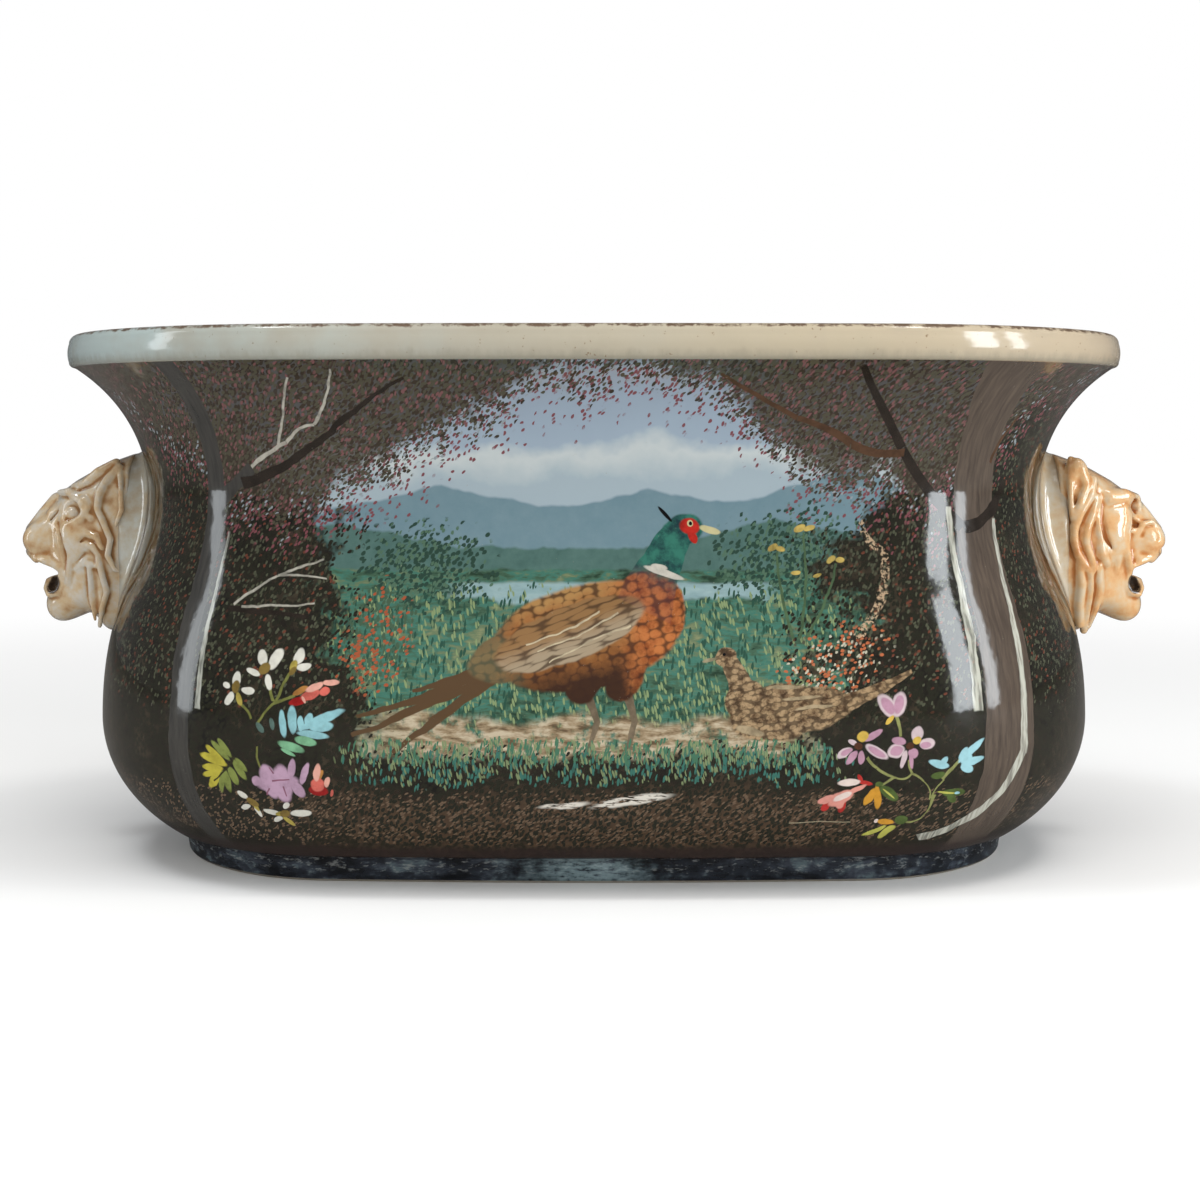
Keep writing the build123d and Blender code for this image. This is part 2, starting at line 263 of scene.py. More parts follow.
class Glaze:
    """A fired glaze: one material whose nodes are added as it is painted."""

    def __init__(self, name):
        self.material = bpy.data.materials.new(name)
        self.material.use_nodes = True
        self.tree = self.material.node_tree
        self.shader = self.tree.nodes["Principled BSDF"]

    def add(self, kind, settings, sockets, output=0):
        """Add a node: its settings first, then the values or links of its sockets."""
        node = self.tree.nodes.new(kind)
        for key, value in settings.items():
            if key == "stops":
                ramp = node.color_ramp.elements
                while len(ramp) < len(value):
                    ramp.new(0.5)
                for element, (place, colour) in zip(ramp, value):
                    element.position = place
                    element.color = (*colour, 1)
            else:
                setattr(node, key, value)
        for key, value in sockets.items():
            self.feed(node.inputs[key], value)
        return Tint(self, node.outputs[output])

    def feed(self, socket, value):
        """Give a socket a link, a number, a vector or a colour."""
        if isinstance(value, Tint):
            self.tree.links.new(value.socket, socket)
        elif socket.type == "RGBA":
            socket.default_value = (*value, 1) if len(value) == 3 else value
        else:
            socket.default_value = value

    def finish(self, fixed, varying):
        """Set the shader's plain sockets and link its varying ones."""
        for key, value in {**fixed, **varying}.items():
            self.feed(self.shader.inputs[key], value)

    def place(self):
        """Where on the piece, as a vector in millimetres."""
        here = self.add("ShaderNodeTexCoord", {}, {}, "Object")
        return self.stretch(here, 1 / MM, 1 / MM, 1 / MM)

    def part_of(self, vector, axis):
        return self.add("ShaderNodeSeparateXYZ", {}, {0: vector}, axis)

    def flat(self, across, up):
        return self.add("ShaderNodeCombineXYZ", {}, {"X": across, "Y": up})

    def cloud(self, where, size, detail=3.0, rough=0.55):
        """Soft noise about 0.5, its features as large as size."""
        sockets = {"Vector": where, "Scale": 1 / size, "Detail": detail, "Roughness": rough}
        return self.add("ShaderNodeTexNoise", {}, sockets, "Fac")

    def stretch(self, where, x, y, z):
        return self.add("ShaderNodeMapping", {}, {0: where, "Scale": (x, y, z)})

    def lay(self, cover, under, over):
        """Lay one colour over another where cover is 1. Sockets 6 and 7 are the Mix node's colours."""
        sockets = {0: cover, 6: under, 7: over}
        return self.add("ShaderNodeMix", {"data_type": "RGBA"}, sockets, 2)

    def shades(self, value, stops):
        return self.add("ShaderNodeValToRGB", {"stops": stops}, {0: value})

    def bump(self, height, strength, distance):
        sockets = {"Height": height, "Strength": strength, "Distance": distance}
        return self.add("ShaderNodeBump", {}, sockets)


class Layer(Glaze):
    """Nodes kept together as a group, which a glaze takes in as one node.

    Its strokes lie on its canvas, in millimetres round the wall and up it, over its ground.
    """

    def __init__(self, name, **given):
        self.tree = bpy.data.node_groups.new(name, "ShaderNodeTree")
        for socket, kind in given.items():
            self.tree.interface.new_socket(socket, in_out="INPUT", socket_type="NodeSocket" + kind)
        entry = self.tree.nodes.new("NodeGroupInput")
        self.given = {socket: Tint(self, entry.outputs[socket]) for socket in given}

    def give(self, **results):
        """Close the group with what it hands on."""
        kinds = {"RGBA": "Color", "VECTOR": "Vector", "VALUE": "Float"}
        for name, result in results.items():
            kind = "NodeSocket" + kinds[result.socket.type]
            self.tree.interface.new_socket(name, in_out="OUTPUT", socket_type=kind)
        end = self.tree.nodes.new("NodeGroupOutput")
        for name, result in results.items():
            self.feed(end.inputs[name], result)

    def laid_on(self, glaze, **sockets):
        """Take the closed group into a glaze, and return what it hands on."""
        node = glaze.add("ShaderNodeGroup", {"node_tree": self.tree}, sockets).socket.node
        return {socket.name: Tint(glaze, socket) for socket in node.outputs}

    def turned(self, texture, spot, angle, long, wide):
        """Lay a texture from a spot, turned by an angle and drawn to the scale of a stroke."""
        frame = texture.socket.node.texture_mapping
        frame.vector_type = "TEXTURE"
        frame.translation = (*spot, 0)
        frame.rotation = (0, 0, angle)
        frame.scale = (long, wide, 1)
        return texture

    def dab(self, root, tip, half, soft=0.14):
        """An oval touch of the brush from root to tip, its edge as soft as soft says."""
        run = Vector(tip) - Vector(root)
        spread = 1 + soft
        sizes = (spread * run.length / 2, spread * half)
        near = self.add("ShaderNodeTexGradient", {"gradient_type": "SPHERICAL"}, {0: self.canvas}, "Fac")
        near = self.turned(near, Vector(root) + run / 2, math.atan2(run.y, run.x), *sizes)
        return near.step(0, 2 * soft / spread)

    def dabs(self, touches):
        """Touches as one mask: x, z of root and tip, half the width, and how soft if not as usual."""
        mask = None
        for root_x, root_z, tip_x, tip_z, *size in touches:
            dab = self.dab((root_x, root_z), (tip_x, tip_z), *size)
            mask = dab if mask is None else mask.most(dab)
        return mask

    def along(self, root, tip):
        """Share of the way from root to tip."""
        run = Vector(tip) - Vector(root)
        share = self.add("ShaderNodeTexGradient", {"gradient_type": "LINEAR"}, {0: self.canvas}, "Fac")
        return self.turned(share, root, math.atan2(run.y, run.x), run.length, 1)

    def stalk(self, root, tip, first, last, bow=0):
        """A line of the brush, half as thick as first and last say, bowed to its left."""
        run = (Vector(tip) - Vector(root)).normalized()
        reach = 2 * max(first, last) + 1.5 * abs(bow)
        left = Vector((-run.y, run.x)) * reach
        share = self.along(root, tip)
        aside = self.along(Vector(root) - left, Vector(root) + left) * (2 * reach) - reach
        ends = share * (1 - share) * 4
        if bow:
            aside = aside - ends * bow
        thick = share * (last - first) + first
        return (thick - abs(aside)).step(-0.15, 0.15) * ends.step(0, 0.04)

    def stalks(self, lines):
        """Lines as one mask: x, z of root and tip, half the thickness at each, and any bow."""
        mask = None
        for root_x, root_z, tip_x, tip_z, *sizes in lines:
            line = self.stalk((root_x, root_z), (tip_x, tip_z), *sizes)
            mask = line if mask is None else mask.most(line)
        return mask

    def cells(self, long, wide, lean, seed, uneven=1.0):
        """How far off the nearest of many scattered dabs is, and that dab's own number."""
        sockets = {"Vector": self.canvas, "Scale": 1, "Randomness": uneven}
        reach = self.add("ShaderNodeTexVoronoi", {"voronoi_dimensions": "2D"}, sockets, "Distance")
        self.turned(reach, (seed, seed), math.radians(lean), long, wide)
        number = self.add("ShaderNodeRGBToBW", {}, {0: reach.beside("Color")})
        return reach, number.step(0.02, 0.98)

    def cover(self, mask, colour):
        """Lay a colour on the ground where mask is 1."""
        self.ground = self.lay(mask, self.ground, colour)

    def stipple(self, amount, pigment, long, wide, lean, seed=0):
        """Set short slanted dabs of a pigment on the ground, as many as amount says."""
        reach, number = self.cells(long, wide, lean, seed)
        self.cover((amount - number).step(0, 0.06) * (0.54 - reach).step(0, 0.14), pigment)


class Brushwork(Layer):
    """A layer that takes in the canvas and the ground and hands the ground on."""

    def __init__(self, name):
        super().__init__(name, canvas="Vector", grain="Float", under="Color")
        self.canvas, self.grain, self.ground = self.given.values()

    def touch(self, pigment, touches, dusk=0.55):
        """Lay touches of one pigment, with a dusky edge and a broken middle."""
        mask = self.dabs(touches)
        self.cover(mask, tuple(part * dusk for part in pigment))
        self.cover(mask * self.grain, pigment)

    def draw(self, pigment, lines, dusk=0.6):
        """Draw stems or branches one over another."""
        for line in lines:
            stem = self.stalks((line,))
            self.cover(stem, tuple(part * dusk for part in pigment))
            self.cover(stem * self.grain, pigment)

    def feathers(self, colour, long, wide, lean, rim):
        """A colour with the dark rims of feathers that lap one over another."""
        reach, _ = self.cells(long, wide, lean, 0, 0.55)
        return self.lay(reach.step(0.36, 0.66) * 0.8, colour, rim)

    def dry(self):
        """Close the layer when its last stroke is on."""
        self.give(ground=self.ground)


land = Layer("landscape")
place = land.place()
up = land.part_of(place, "Z")
quarter = land.part_of(place, "X") * land.part_of(place, "Y")
run = land.add("ShaderNodeAttribute", {"attribute_name": "run_round"}, {}, "Fac")
# Front and back carry the same scene, the back one turned round with the pot
sway = land.cloud(place, 9, 2)
picture_x = run * -quarter.sign() + (sway - 0.5) * 2
picture_z = up + (0.5 - sway) * 2
weave = Layer("canvas", across="Float", up="Float")
weave.give(canvas=weave.stretch(weave.flat(*weave.given.values()), 1 / MM, 1 / MM, 1))
land.canvas = weave.laid_on(land, across=picture_x * MM, up=picture_z * MM)["canvas"]
coarse = land.cloud(place, 26, 4)
fine = land.cloud(place, 5, 4, 0.65)
daub = land.cloud(land.stretch(land.canvas, 0.35, 1, 1), 2.4, 3, 0.6)
grain = fine.step(0.3, 0.64)
skyline = land.stretch(land.canvas, 1, 0, 0)


def hill(level, peaks, rough, size):
    """Skyline of a ridge: its level, its peaks, and the roughness of its line."""
    line = land.cloud(skyline, size, 3) * rough + (level - rough / 2)
    for centre, half, rise in peaks:
        line = line + (1 - abs(picture_x - centre) / half).most(0) * rise
    return (line - picture_z).step(-0.6, 0.6)


# Sky, far hills, near hills, meadow and lake
PICTURE_TOP = 185
land.ground = land.shades(
    (picture_z + (coarse - 0.5) * 26) / PICTURE_TOP,
    (
        (0.60, (0.33, 0.40, 0.44)),
        (0.73, (0.31, 0.38, 0.42)),
        (0.775, (0.47, 0.51, 0.51)),
        (0.80, (0.28, 0.35, 0.42)),
        (0.87, (0.26, 0.32, 0.39)),
        (0.95, (0.25, 0.29, 0.34)),
    ),
)
land.cover(
    hill(124, ((-50, 44, 9), (18, 36, 8), (84, 46, 15)), 5, 22),
    land.lay(fine * 0.8, (0.11, 0.19, 0.23), (0.18, 0.26, 0.29)),
)
land.cover(
    hill(113, ((-84, 40, 8), (60, 44, 9)), 6, 14),
    land.lay(fine, (0.035, 0.085, 0.075), (0.10, 0.18, 0.16)),
)
meadow = land.shades(
    daub * 0.6 + coarse * 0.4,
    (
        (0.36, (0.018, 0.038, 0.024)),
        (0.45, (0.05, 0.105, 0.066)),
        (0.52, (0.045, 0.15, 0.115)),
        (0.58, (0.106, 0.15, 0.084)),
        (0.66, (0.19, 0.21, 0.11)),
    ),
)
land.cover(hill(106, (), 3, 12), meadow)
lake = (picture_z - 96 + (coarse - 0.5) * 10).step(-0.7, 0.7) * (102 - picture_z).step(-0.7, 0.7)
lake = lake * (58 - abs(picture_x - 6)).step(0, 14)
land.cover(lake * 0.9, land.lay(daub, (0.14, 0.26, 0.28), (0.36, 0.46, 0.47)))
# Trees by the lake, tufts, and bare earth in the foreground
clumps = land.dabs(((-72, 106, -38, 108, 11, 0.8), (44, 108, 86, 112, 12, 0.8)))
land.stipple(clumps * 1.1, (0.022, 0.05, 0.036), 2.0, 1.3, 40)
land.stipple(clumps * 0.45, (0.07, 0.13, 0.085), 1.6, 1.0, 60, 31)
in_grass = (104 - picture_z).step(0, 8)
land.stipple(in_grass * 0.34, (0.022, 0.065, 0.045), 3.0, 0.9, 84, 7)
land.stipple(in_grass * 0.26, (0.19, 0.25, 0.12), 2.6, 0.8, 98, 17)
earth = (1 - abs(picture_z - 51 - (coarse - 0.5) * 22) / 11).step(0, 0.35)
earth = earth * (78 - abs(picture_x + 2)).step(-16, 26)
bare_earth = land.shades(
    daub,
    ((0.35, (0.10, 0.065, 0.035)), (0.48, (0.27, 0.20, 0.12)), (0.62, (0.45, 0.38, 0.27))),
)
land.cover(earth * fine.step(0.30, 0.48), bare_earth)

# Dark shrubs and ground close in from both sides and from below, with a green verge
half_lit = 84 + (picture_z - 118).most(0) * 1.5 - (84 - picture_z).most(0) * 0.45
ragged = land.cloud(land.stretch(land.canvas, 1, 1, 0), 19, 4, 0.6)
gloom = (abs(picture_x + 3) / half_lit + (ragged - 0.5) * 1.1).step(0.78, 1.14)
gloom = gloom.most((49 - picture_z + (coarse - 0.5) * 14).step(-5, 7))
dusk = land.shades(
    coarse * 0.45 + fine * 0.55,
    (
        (0.36, (0.006, 0.006, 0.005)),
        (0.50, (0.017, 0.014, 0.010)),
        (0.62, (0.040, 0.031, 0.020)),
    ),
)
loam = (41 - picture_z + (coarse - 0.5) * 22).step(0, 13) * (118 - abs(picture_x)).step(0, 60)
dusk = land.lay(loam * 0.9, dusk, land.lay(fine, (0.032, 0.020, 0.012), (0.105, 0.064, 0.038)))
land.cover(gloom.step(0.35, 0.8), dusk)
land.stipple(gloom * 0.95, (0.016, 0.016, 0.010), 1.9, 1.1, 52, 3)
shrubs = gloom * (picture_z - 52).step(0, 20)
land.stipple(shrubs * 0.26, (0.062, 0.066, 0.042), 1.5, 0.9, 60, 11)
land.stipple(shrubs * 0.11, (0.115, 0.036, 0.022), 1.4, 0.9, 40, 23)
verge = (1 - abs(picture_z - 44 - (coarse - 0.5) * 12) / 8).step(0, 0.8)
verge = verge * (88 - abs(picture_x)).step(0, 20)
land.stipple(verge * 0.55, (0.035, 0.13, 0.105), 2.8, 0.9, 82, 5)
land.stipple(verge * 0.3, (0.16, 0.20, 0.10), 2.4, 0.7, 100, 13)
foreground = (38 - picture_z).step(0, 6) * (picture_z - 14).step(0, 5)
land.stipple(foreground * 0.3, (0.13, 0.085, 0.055), 1.5, 0.6, 35, 41)

# Canopy hanging from the rim, open to the sky a little right of the middle
canopy_foot = land.cloud(land.stretch(land.canvas, 1, 0.6, 0), 17, 4, 0.6) * 34 + 150
for centre, half, drop in ((-104, 92, 50), (66, 40, 20), (112, 62, 44)):
    canopy_foot = canopy_foot - (1 - abs(picture_x - centre) / half).most(0) * drop
canopy = (picture_z - canopy_foot).step(-9, 13)
fringe = (picture_z - canopy_foot).step(-22, 6) * 0.42
land.stipple(fringe, (0.17, 0.055, 0.065), 1.7, 0.9, 48, 29)
land.cover(canopy.step(0.55, 1.0) * 0.88, (0.045, 0.036, 0.026))
land.stipple(canopy * 0.92, (0.036, 0.027, 0.019), 2.0, 1.0, 44, 2)
land.stipple(canopy * 0.7, (0.066, 0.060, 0.040), 1.7, 0.9, 36, 19)
land.stipple(canopy * 0.2, (0.16, 0.07, 0.07), 1.6, 0.8, 50, 37)
land.stipple(canopy * (1 - canopy) * 0.7, (0.24, 0.27, 0.29), 1.5, 0.8, 40, 43)

passed_on = {"grain": grain, "fine": fine, "coarse": coarse, "sway": sway, "up": up}
land.give(ground=land.ground, canvas=land.canvas, **passed_on)

# Trunks with their lit edges, branches and bare twigs
left_trees = Brushwork("left_trees")
bark = left_trees.cloud(left_trees.stretch(left_trees.canvas, 1, 0.12, 1), 1.6, 3, 0.6)
trunk = left_trees.stalks((
    (-134, 8, -132, 176, 4.6, 4.0, 1), (-131, 128, -116, 139, 2.6, 1.8),
))
left_trees.cover(trunk, left_trees.lay(bark, (0.014, 0.015, 0.016), (0.075, 0.07, 0.062)))
left_trees.draw((0.022, 0.016, 0.012), (
    (-121, 134, -100, 141, 1.9, 1.3, -1), (-101, 140.6, -84, 152, 1.3, 1.0, -0.6),
    (-85, 151.4, -60, 168, 1.0, 0.5, 1),
    (-120, 93, -92, 91, 1.0, 0.6, 0),
))
left_trees.draw((0.42, 0.40, 0.34), (
    (-116, 139, -101, 147, 0.6, 0.6, 0.5), (-101, 147, -91, 153, 0.6, 0.5, 1.0),
    (-91, 153, -83, 171, 0.5, 0.35, -1.2), (-104, 146, -96, 168, 0.5, 0.3, 0.8),
    (-118, 94, -104, 104, 0.45, 0.4, 0.4), (-104, 104, -88, 109, 0.4, 0.25, 0),
    (-104, 104, -87, 103, 0.4, 0.2, 0.5), (-115, 93.5, -90, 95, 0.4, 0.25, 0),
), 0.45)
strip = left_trees.stalk((-126.5, 60), (-126, 118), 1.0, 0.5, 0.4)
left_trees.cover(strip * (bark.step(0.36, 0.58) * 0.6 + 0.3), (0.42, 0.43, 0.38))
left_trees.dry()

right_trees = Brushwork("right_trees")
bark = right_trees.cloud(right_trees.stretch(right_trees.canvas, 1, 0.12, 1), 1.6, 3, 0.6)
trunk = right_trees.stalks((
    (134, 8, 133, 178, 11, 9.5, -2), (138, 120, 126, 176, 4.5, 7),
))
right_trees.cover(trunk, right_trees.lay(bark, (0.022, 0.017, 0.014), (0.14, 0.105, 0.08)))
right_trees.draw((0.022, 0.016, 0.012), (
    (128, 119, 102, 145, 2.2, 1.6, 1.5), (102, 145, 84, 172, 1.6, 1.0, 0),
    (128, 119, 152, 134, 2.4, 1.6, -4),
))
right_trees.draw((0.085, 0.042, 0.022), (
    (103, 144, 84, 147, 1.2, 1.4, 1.6), (84, 147, 66, 155, 1.4, 0.8, -1), (66, 155, 40, 169, 0.8, 0.5, 0),
    (142, 140, 149, 156, 0.8, 0.6, 1),
))
strips = right_trees.stalks((
    (122, 60, 122.5, 126, 1.7, 1.2), (141, 44, 145, 122, 1.7, 0.8, 1), (108, 17.5, 141, 46, 1.5, 1.9, -7),
))
right_trees.cover(strips * (bark.step(0.36, 0.58) * 0.6 + 0.35), (0.48, 0.48, 0.41))
right_trees.dry()

# Yellow-headed weeds, a russet shrub and white and coral blossom
weeds = Brushwork("weeds")
weeds.draw((0.07, 0.12, 0.06), (
    (64, 84, 60, 112, 0.5, 0.3, 1), (66, 84, 69, 118, 0.5, 0.3, -1), (68, 84, 79, 108, 0.5, 0.3, -1),
))
weeds.touch((0.50, 0.37, 0.10), (
    (57, 112, 60, 114, 1.0), (59.5, 113, 62.5, 112.2, 0.9), (66, 118, 69.5, 120, 1.1),
    (69, 118.6, 73, 119.4, 0.9), (76, 108.2, 79, 110, 0.9), (79, 109, 82, 109, 0.8),
    (64, 105, 67, 105.5, 0.7), (71, 104, 74, 104.6, 0.6),
), 0.45)
shrub = weeds.dab((-74, 70), (-66, 98), 10, 0.7)
weeds.stipple(shrub * 0.8, (0.05, 0.09, 0.055), 1.8, 1.0, 70, 53)
weeds.stipple(shrub * 0.42, (0.30, 0.075, 0.032), 1.5, 1.0, 30, 59)
blooms = weeds.dab((62, 68), (92, 84), 9, 0.7)
weeds.stipple(blooms * 0.36, (0.38, 0.11, 0.045), 1.4, 1.0, 20, 61)
weeds.stipple(blooms * 0.22, (0.42, 0.40, 0.31), 1.2, 0.8, 50, 67)
weeds.dry()

# Cock pheasant in the grass: tail, legs, body, wing, neck and head
cock = Brushwork("cock_pheasant")
near = cock.cloud(cock.canvas, 5, 4, 0.65) - 0.5
plumes = ((-76, 60, 1.5, 2), (-77, 53.5, 2.0, 1), (-64, 48, 1.7, 0), (-58, 68, 1.4, 1))
for tip_x, tip_z, thick, bow in plumes:
    bars = (cock.along((-22, 79), (tip_x, tip_z)) * 110).reckon("SINE").step(-0.2, 0.7)
    plume = cock.stalk((-24, 79), (tip_x, tip_z), 2.6, thick * 0.35, bow)
    cock.cover(plume, cock.lay(bars, (0.36, 0.23, 0.10), (0.035, 0.016, 0.010)))
cock.draw((0.17, 0.13, 0.085), (
    (-4, 70, 1, 58, 1.8, 0.9, 0.5), (1, 59, -2, 49, 0.9, 0.7, 0), (-2, 49.4, 5, 48.2, 0.6, 0.4, 0),
    (9, 70, 13, 58, 1.8, 0.9, 0.5), (13, 59, 11, 49.6, 0.9, 0.7, 0), (11, 50, 18, 49, 0.6, 0.4, 0),
))
plump = cock.dabs((
    (-33, 78, 28, 92, 16.5, 0.04), (8, 78, 24, 104, 12.5, 0.04), (-40, 75, -8, 84, 8, 0.06),
    (-6, 64, 0, 80, 6, 0.08), (6, 65, 14, 82, 6, 0.08),
))
belly_to_back = cock.along((1.5, 69), (-6, 101)) + near * 0.3
tail_to_chest = cock.along((-33, 78), (28, 92)) + near * 0.25
plumage = cock.shades(
    belly_to_back,
    (
        (0.08, (0.040, 0.018, 0.010)),
        (0.30, (0.19, 0.075, 0.022)),
        (0.52, (0.36, 0.19, 0.065)),
        (0.72, (0.25, 0.095, 0.028)),
        (0.92, (0.34, 0.185, 0.065)),
    ),
)
copper = cock.lay(cock.grain, (0.20, 0.05, 0.014), (0.42, 0.14, 0.04))
plumage = cock.lay(tail_to_chest.step(0.58, 0.82), plumage, copper)
plumage = cock.feathers(plumage, 3.6, 2.6, 14, (0.035, 0.016, 0.010))
plumage = cock.lay((0.2 - tail_to_chest).step(0, 0.2) * 0.7, plumage, (0.075, 0.085, 0.05))
cock.cover(plump, plumage)
vane = cock.along((-4.4, 77.8), (-10.6, 94.2)) + near * 0.2
coverts = cock.lay(vane.step(0.25, 0.7), (0.30, 0.235, 0.155), (0.23, 0.125, 0.05))
coverts = cock.feathers(coverts, 9, 1.7, 21, (0.045, 0.024, 0.014))
cock.cover(cock.dab((16, 95), (-31, 77), 8.6, 0.05), coverts)
cock.draw((0.50, 0.42, 0.28), (
    (12, 88.5, -14, 76.5, 0.3, 0.2, -1.2), (2, 93, -22, 82.6, 0.3, 0.2, 0.8),
    (8, 92.6, -18, 80.2, 0.25, 0.2, 0.4),
))
throat = cock.stalk((16, 93), (29, 120), 9.5, 4.3, 1.2)
throat = throat.most(cock.dab((22.6, 117.4), (35.6, 120.6), 4.9, 0.08))
sheen = cock.lay(cock.grain, (0.010, 0.035, 0.040), (0.03, 0.15, 0.11))
chest = (0.52 - cock.along((16, 92), (29, 121)) + near * 0.3).step(0, 0.3)
cock.cover(throat * (1 - chest * 0.8), cock.lay(chest, sheen, (0.10, 0.03, 0.05)))
cock.touch((0.55, 0.52, 0.45), ((16.6, 107.0, 29.0, 103.0, 1.1), (18.6, 107.2, 24, 106.2, 1.0)), 0.7)
cock.touch((0.46, 0.02, 0.012), ((28.0, 120.6, 34.4, 119.4, 2.5), (31.0, 118.6, 33.4, 114.6, 1.3)))
cock.touch((0.50, 0.45, 0.24), ((34.6, 119.8, 41.4, 117.8, 1.1), (30.4, 121.0, 32.4, 121.0, 1.0)), 0.8)
cock.touch((0.004, 0.004, 0.004), ((30.9, 121.0, 32.1, 121.0, 0.6), (21.0, 126.4, 25.4, 121.6, 0.6)))
cock.dry()

# Hen, crouched and mottled brown
hen = Brushwork("hen_pheasant")
plump = hen.dabs((
    (43, 58, 74, 64, 8.8, 0.06), (52, 60, 82, 64, 7.0, 0.06), (43.5, 60, 53, 70, 6.4, 0.06),
    (38.6, 77.8, 45.6, 79.4, 3.2, 0.06),
))
plump = plump.most(hen.stalk((76, 63), (101, 74), 3.4, 0.7, -1.2))
plump = plump.most(hen.stalk((48, 63), (42.6, 78.6), 5.0, 2.4, -0.8))
mottle = hen.cloud(hen.canvas, 3.4, 4, 0.7).step(0.32, 0.62)
brown = hen.lay(mottle, (0.075, 0.042, 0.022), (0.34, 0.235, 0.13))
reach, _ = hen.cells(2.4, 1.4, 12, 0, 0.9)
hen.cover(plump, hen.lay(reach.step(0.34, 0.60) * 0.7, brown, (0.03, 0.018, 0.011)))
hen.touch((0.36, 0.28, 0.17), (
    (56, 68.6, 66, 69.4, 0.6), (60, 65.4, 72, 66.2, 0.6), (64, 62.0, 76, 63.4, 0.6),
    (45, 56.6, 54, 54.0, 1.3),
), 0.5)
hen.touch((0.30, 0.26, 0.16), ((34.6, 77.2, 39.0, 78.2, 0.65),))
hen.touch((0.004, 0.004, 0.004), ((41.0, 79.4, 42.1, 79.4, 0.5),))
hen.dry()

# Grass in front of their feet
tufts = Brushwork("grass_tufts")
band = tufts.along((0, 43), (0, 54))
band = band * (1 - band) * 4
breadth = tufts.along((-84, 48), (84, 48))
band = band * (breadth * (1 - breadth) * 14).least(1)
band = band.step(0.0, 0.5) * (band + (tufts.cloud(tufts.canvas, 20, 3) - 0.5) * 2).step(0.1, 0.8)
tufts.stipple(band * 0.55, (0.05, 0.14, 0.085), 3.4, 0.8, 80, 71)
tufts.stipple(band * 0.32, (0.17, 0.22, 0.11), 3.0, 0.7, 96, 73)
tufts.dry()

# Spray of white, coral and lilac flowers at lower left
left_spray = Brushwork("left_spray")
left_spray.draw((0.17, 0.18, 0.05), (
    (-101.1, 64.1, -102.5, 68.5, 0.45, 0.35, 0.3), (-100.6, 63.6, -96.5, 73.1, 0.35, 0.45, 0.6),
    (-108.2, 58.5, -111.9, 63.2, 0.35, 0.4, -0.6), (-106.2, 57.0, -100.6, 63.6, 0.35, 0.4, 0.5),
    (-101.0, 63.4, -95.0, 66.3, 0.5, 0.45, 0.2), (-106.4, 50, -104.2, 41, 0.3, 0.3, -0.8),
))
left_spray.touch((0.62, 0.61, 0.54), (
    (-113.1, 67.9, -113.2, 73.2, 1.4), (-115.3, 67.9, -117.8, 69.4, 0.9), (-114.2, 66.4, -116.6, 62.7, 1.2),
    (-111.1, 67.2, -107.3, 67.3, 1.1), (-104.8, 75.3, -106.0, 80.4, 1.5), (-102.5, 74.2, -99.7, 80.8, 1.7),
    (-105.7, 72.2, -109.8, 73.8, 1.0), (-103.2, 72.4, -102.7, 67.9, 1.0), (-94.8, 75.6, -93.4, 81.1, 1.5),
    (-94.2, 74.4, -90.2, 75.7, 1.2), (-111.1, 32.2, -114.0, 34.2, 1.0), (-110.7, 29.4, -114.1, 28.3, 1.0),
    (-109.0, 29.2, -108.0, 25.6, 0.7), (-101.5, 27.2, -106.5, 28.1, 1.0), (-101.0, 25.8, -103.8, 24.0, 0.9),
    (-97.7, 27.2, -91.4, 27.9, 1.3), (-99.8, 29.2, -98.0, 31.2, 0.9),
), 0.8)
left_spray.touch((0.40, 0.32, 0.07), (
    (-112.6, 66.4, -111.8, 62.8, 0.9), (-100.6, 26.0, -97.3, 22.8, 0.8), (-103.0, 26.8, -100.0, 27.4, 0.8),
    (-95.8, 73.0, -95.0, 77.2, 1.2), (-109.6, 31.2, -108.2, 27.6, 0.7),
))
left_spray.touch((0.20, 0.135, 0.035), (
    (-113.4, 66.2, -112.9, 70.2, 1.3), (-105.6, 72.6, -103.2, 76.0, 1.6), (-96.6, 72.6, -94.6, 74.8, 0.9),
    (-111.4, 32.0, -108.0, 29.4, 1.2), (-101.4, 26.8, -98.0, 27.6, 1.3),
), 0.6)
left_spray.touch((0.30, 0.012, 0.012), (
    (-96.5, 63.6, -91.6, 65.1, 1.4), (-91.2, 36.0, -85.2, 35.4, 1.7),
), 0.6)
left_spray.touch((0.42, 0.19, 0.05), ((-95.6, 66.6, -91.4, 69.2, 1.0), (-88.4, 38.2, -86.2, 42.2, 0.9)))
left_spray.touch((0.60, 0.13, 0.10), (
    (-93.1, 65.3, -87.7, 67.9, 1.5), (-87.7, 67.3, -84.3, 68.4, 1.2), (-90.2, 36.4, -86.0, 38.4, 2.0),
    (-84.2, 33.6, -83.6, 36.0, 0.5),
))
left_spray.touch((0.66, 0.34, 0.27), (
    (-91.9, 67.9, -86.4, 70.3, 1.1), (-86.4, 70.3, -81.2, 70.6, 0.9), (-92.8, 66.0, -91.8, 63.8, 0.4),
    (-88.4, 38.6, -87.6, 44.4, 1.1), (-85.4, 36.6, -84.4, 40.0, 0.8),
), 0.75)
left_spray.touch((0.09, 0.15, 0.13), ((-101.1, 55.0, -101.9, 58.9, 0.7), (-104.4, 54.4, -106.4, 57.4, 0.9)))
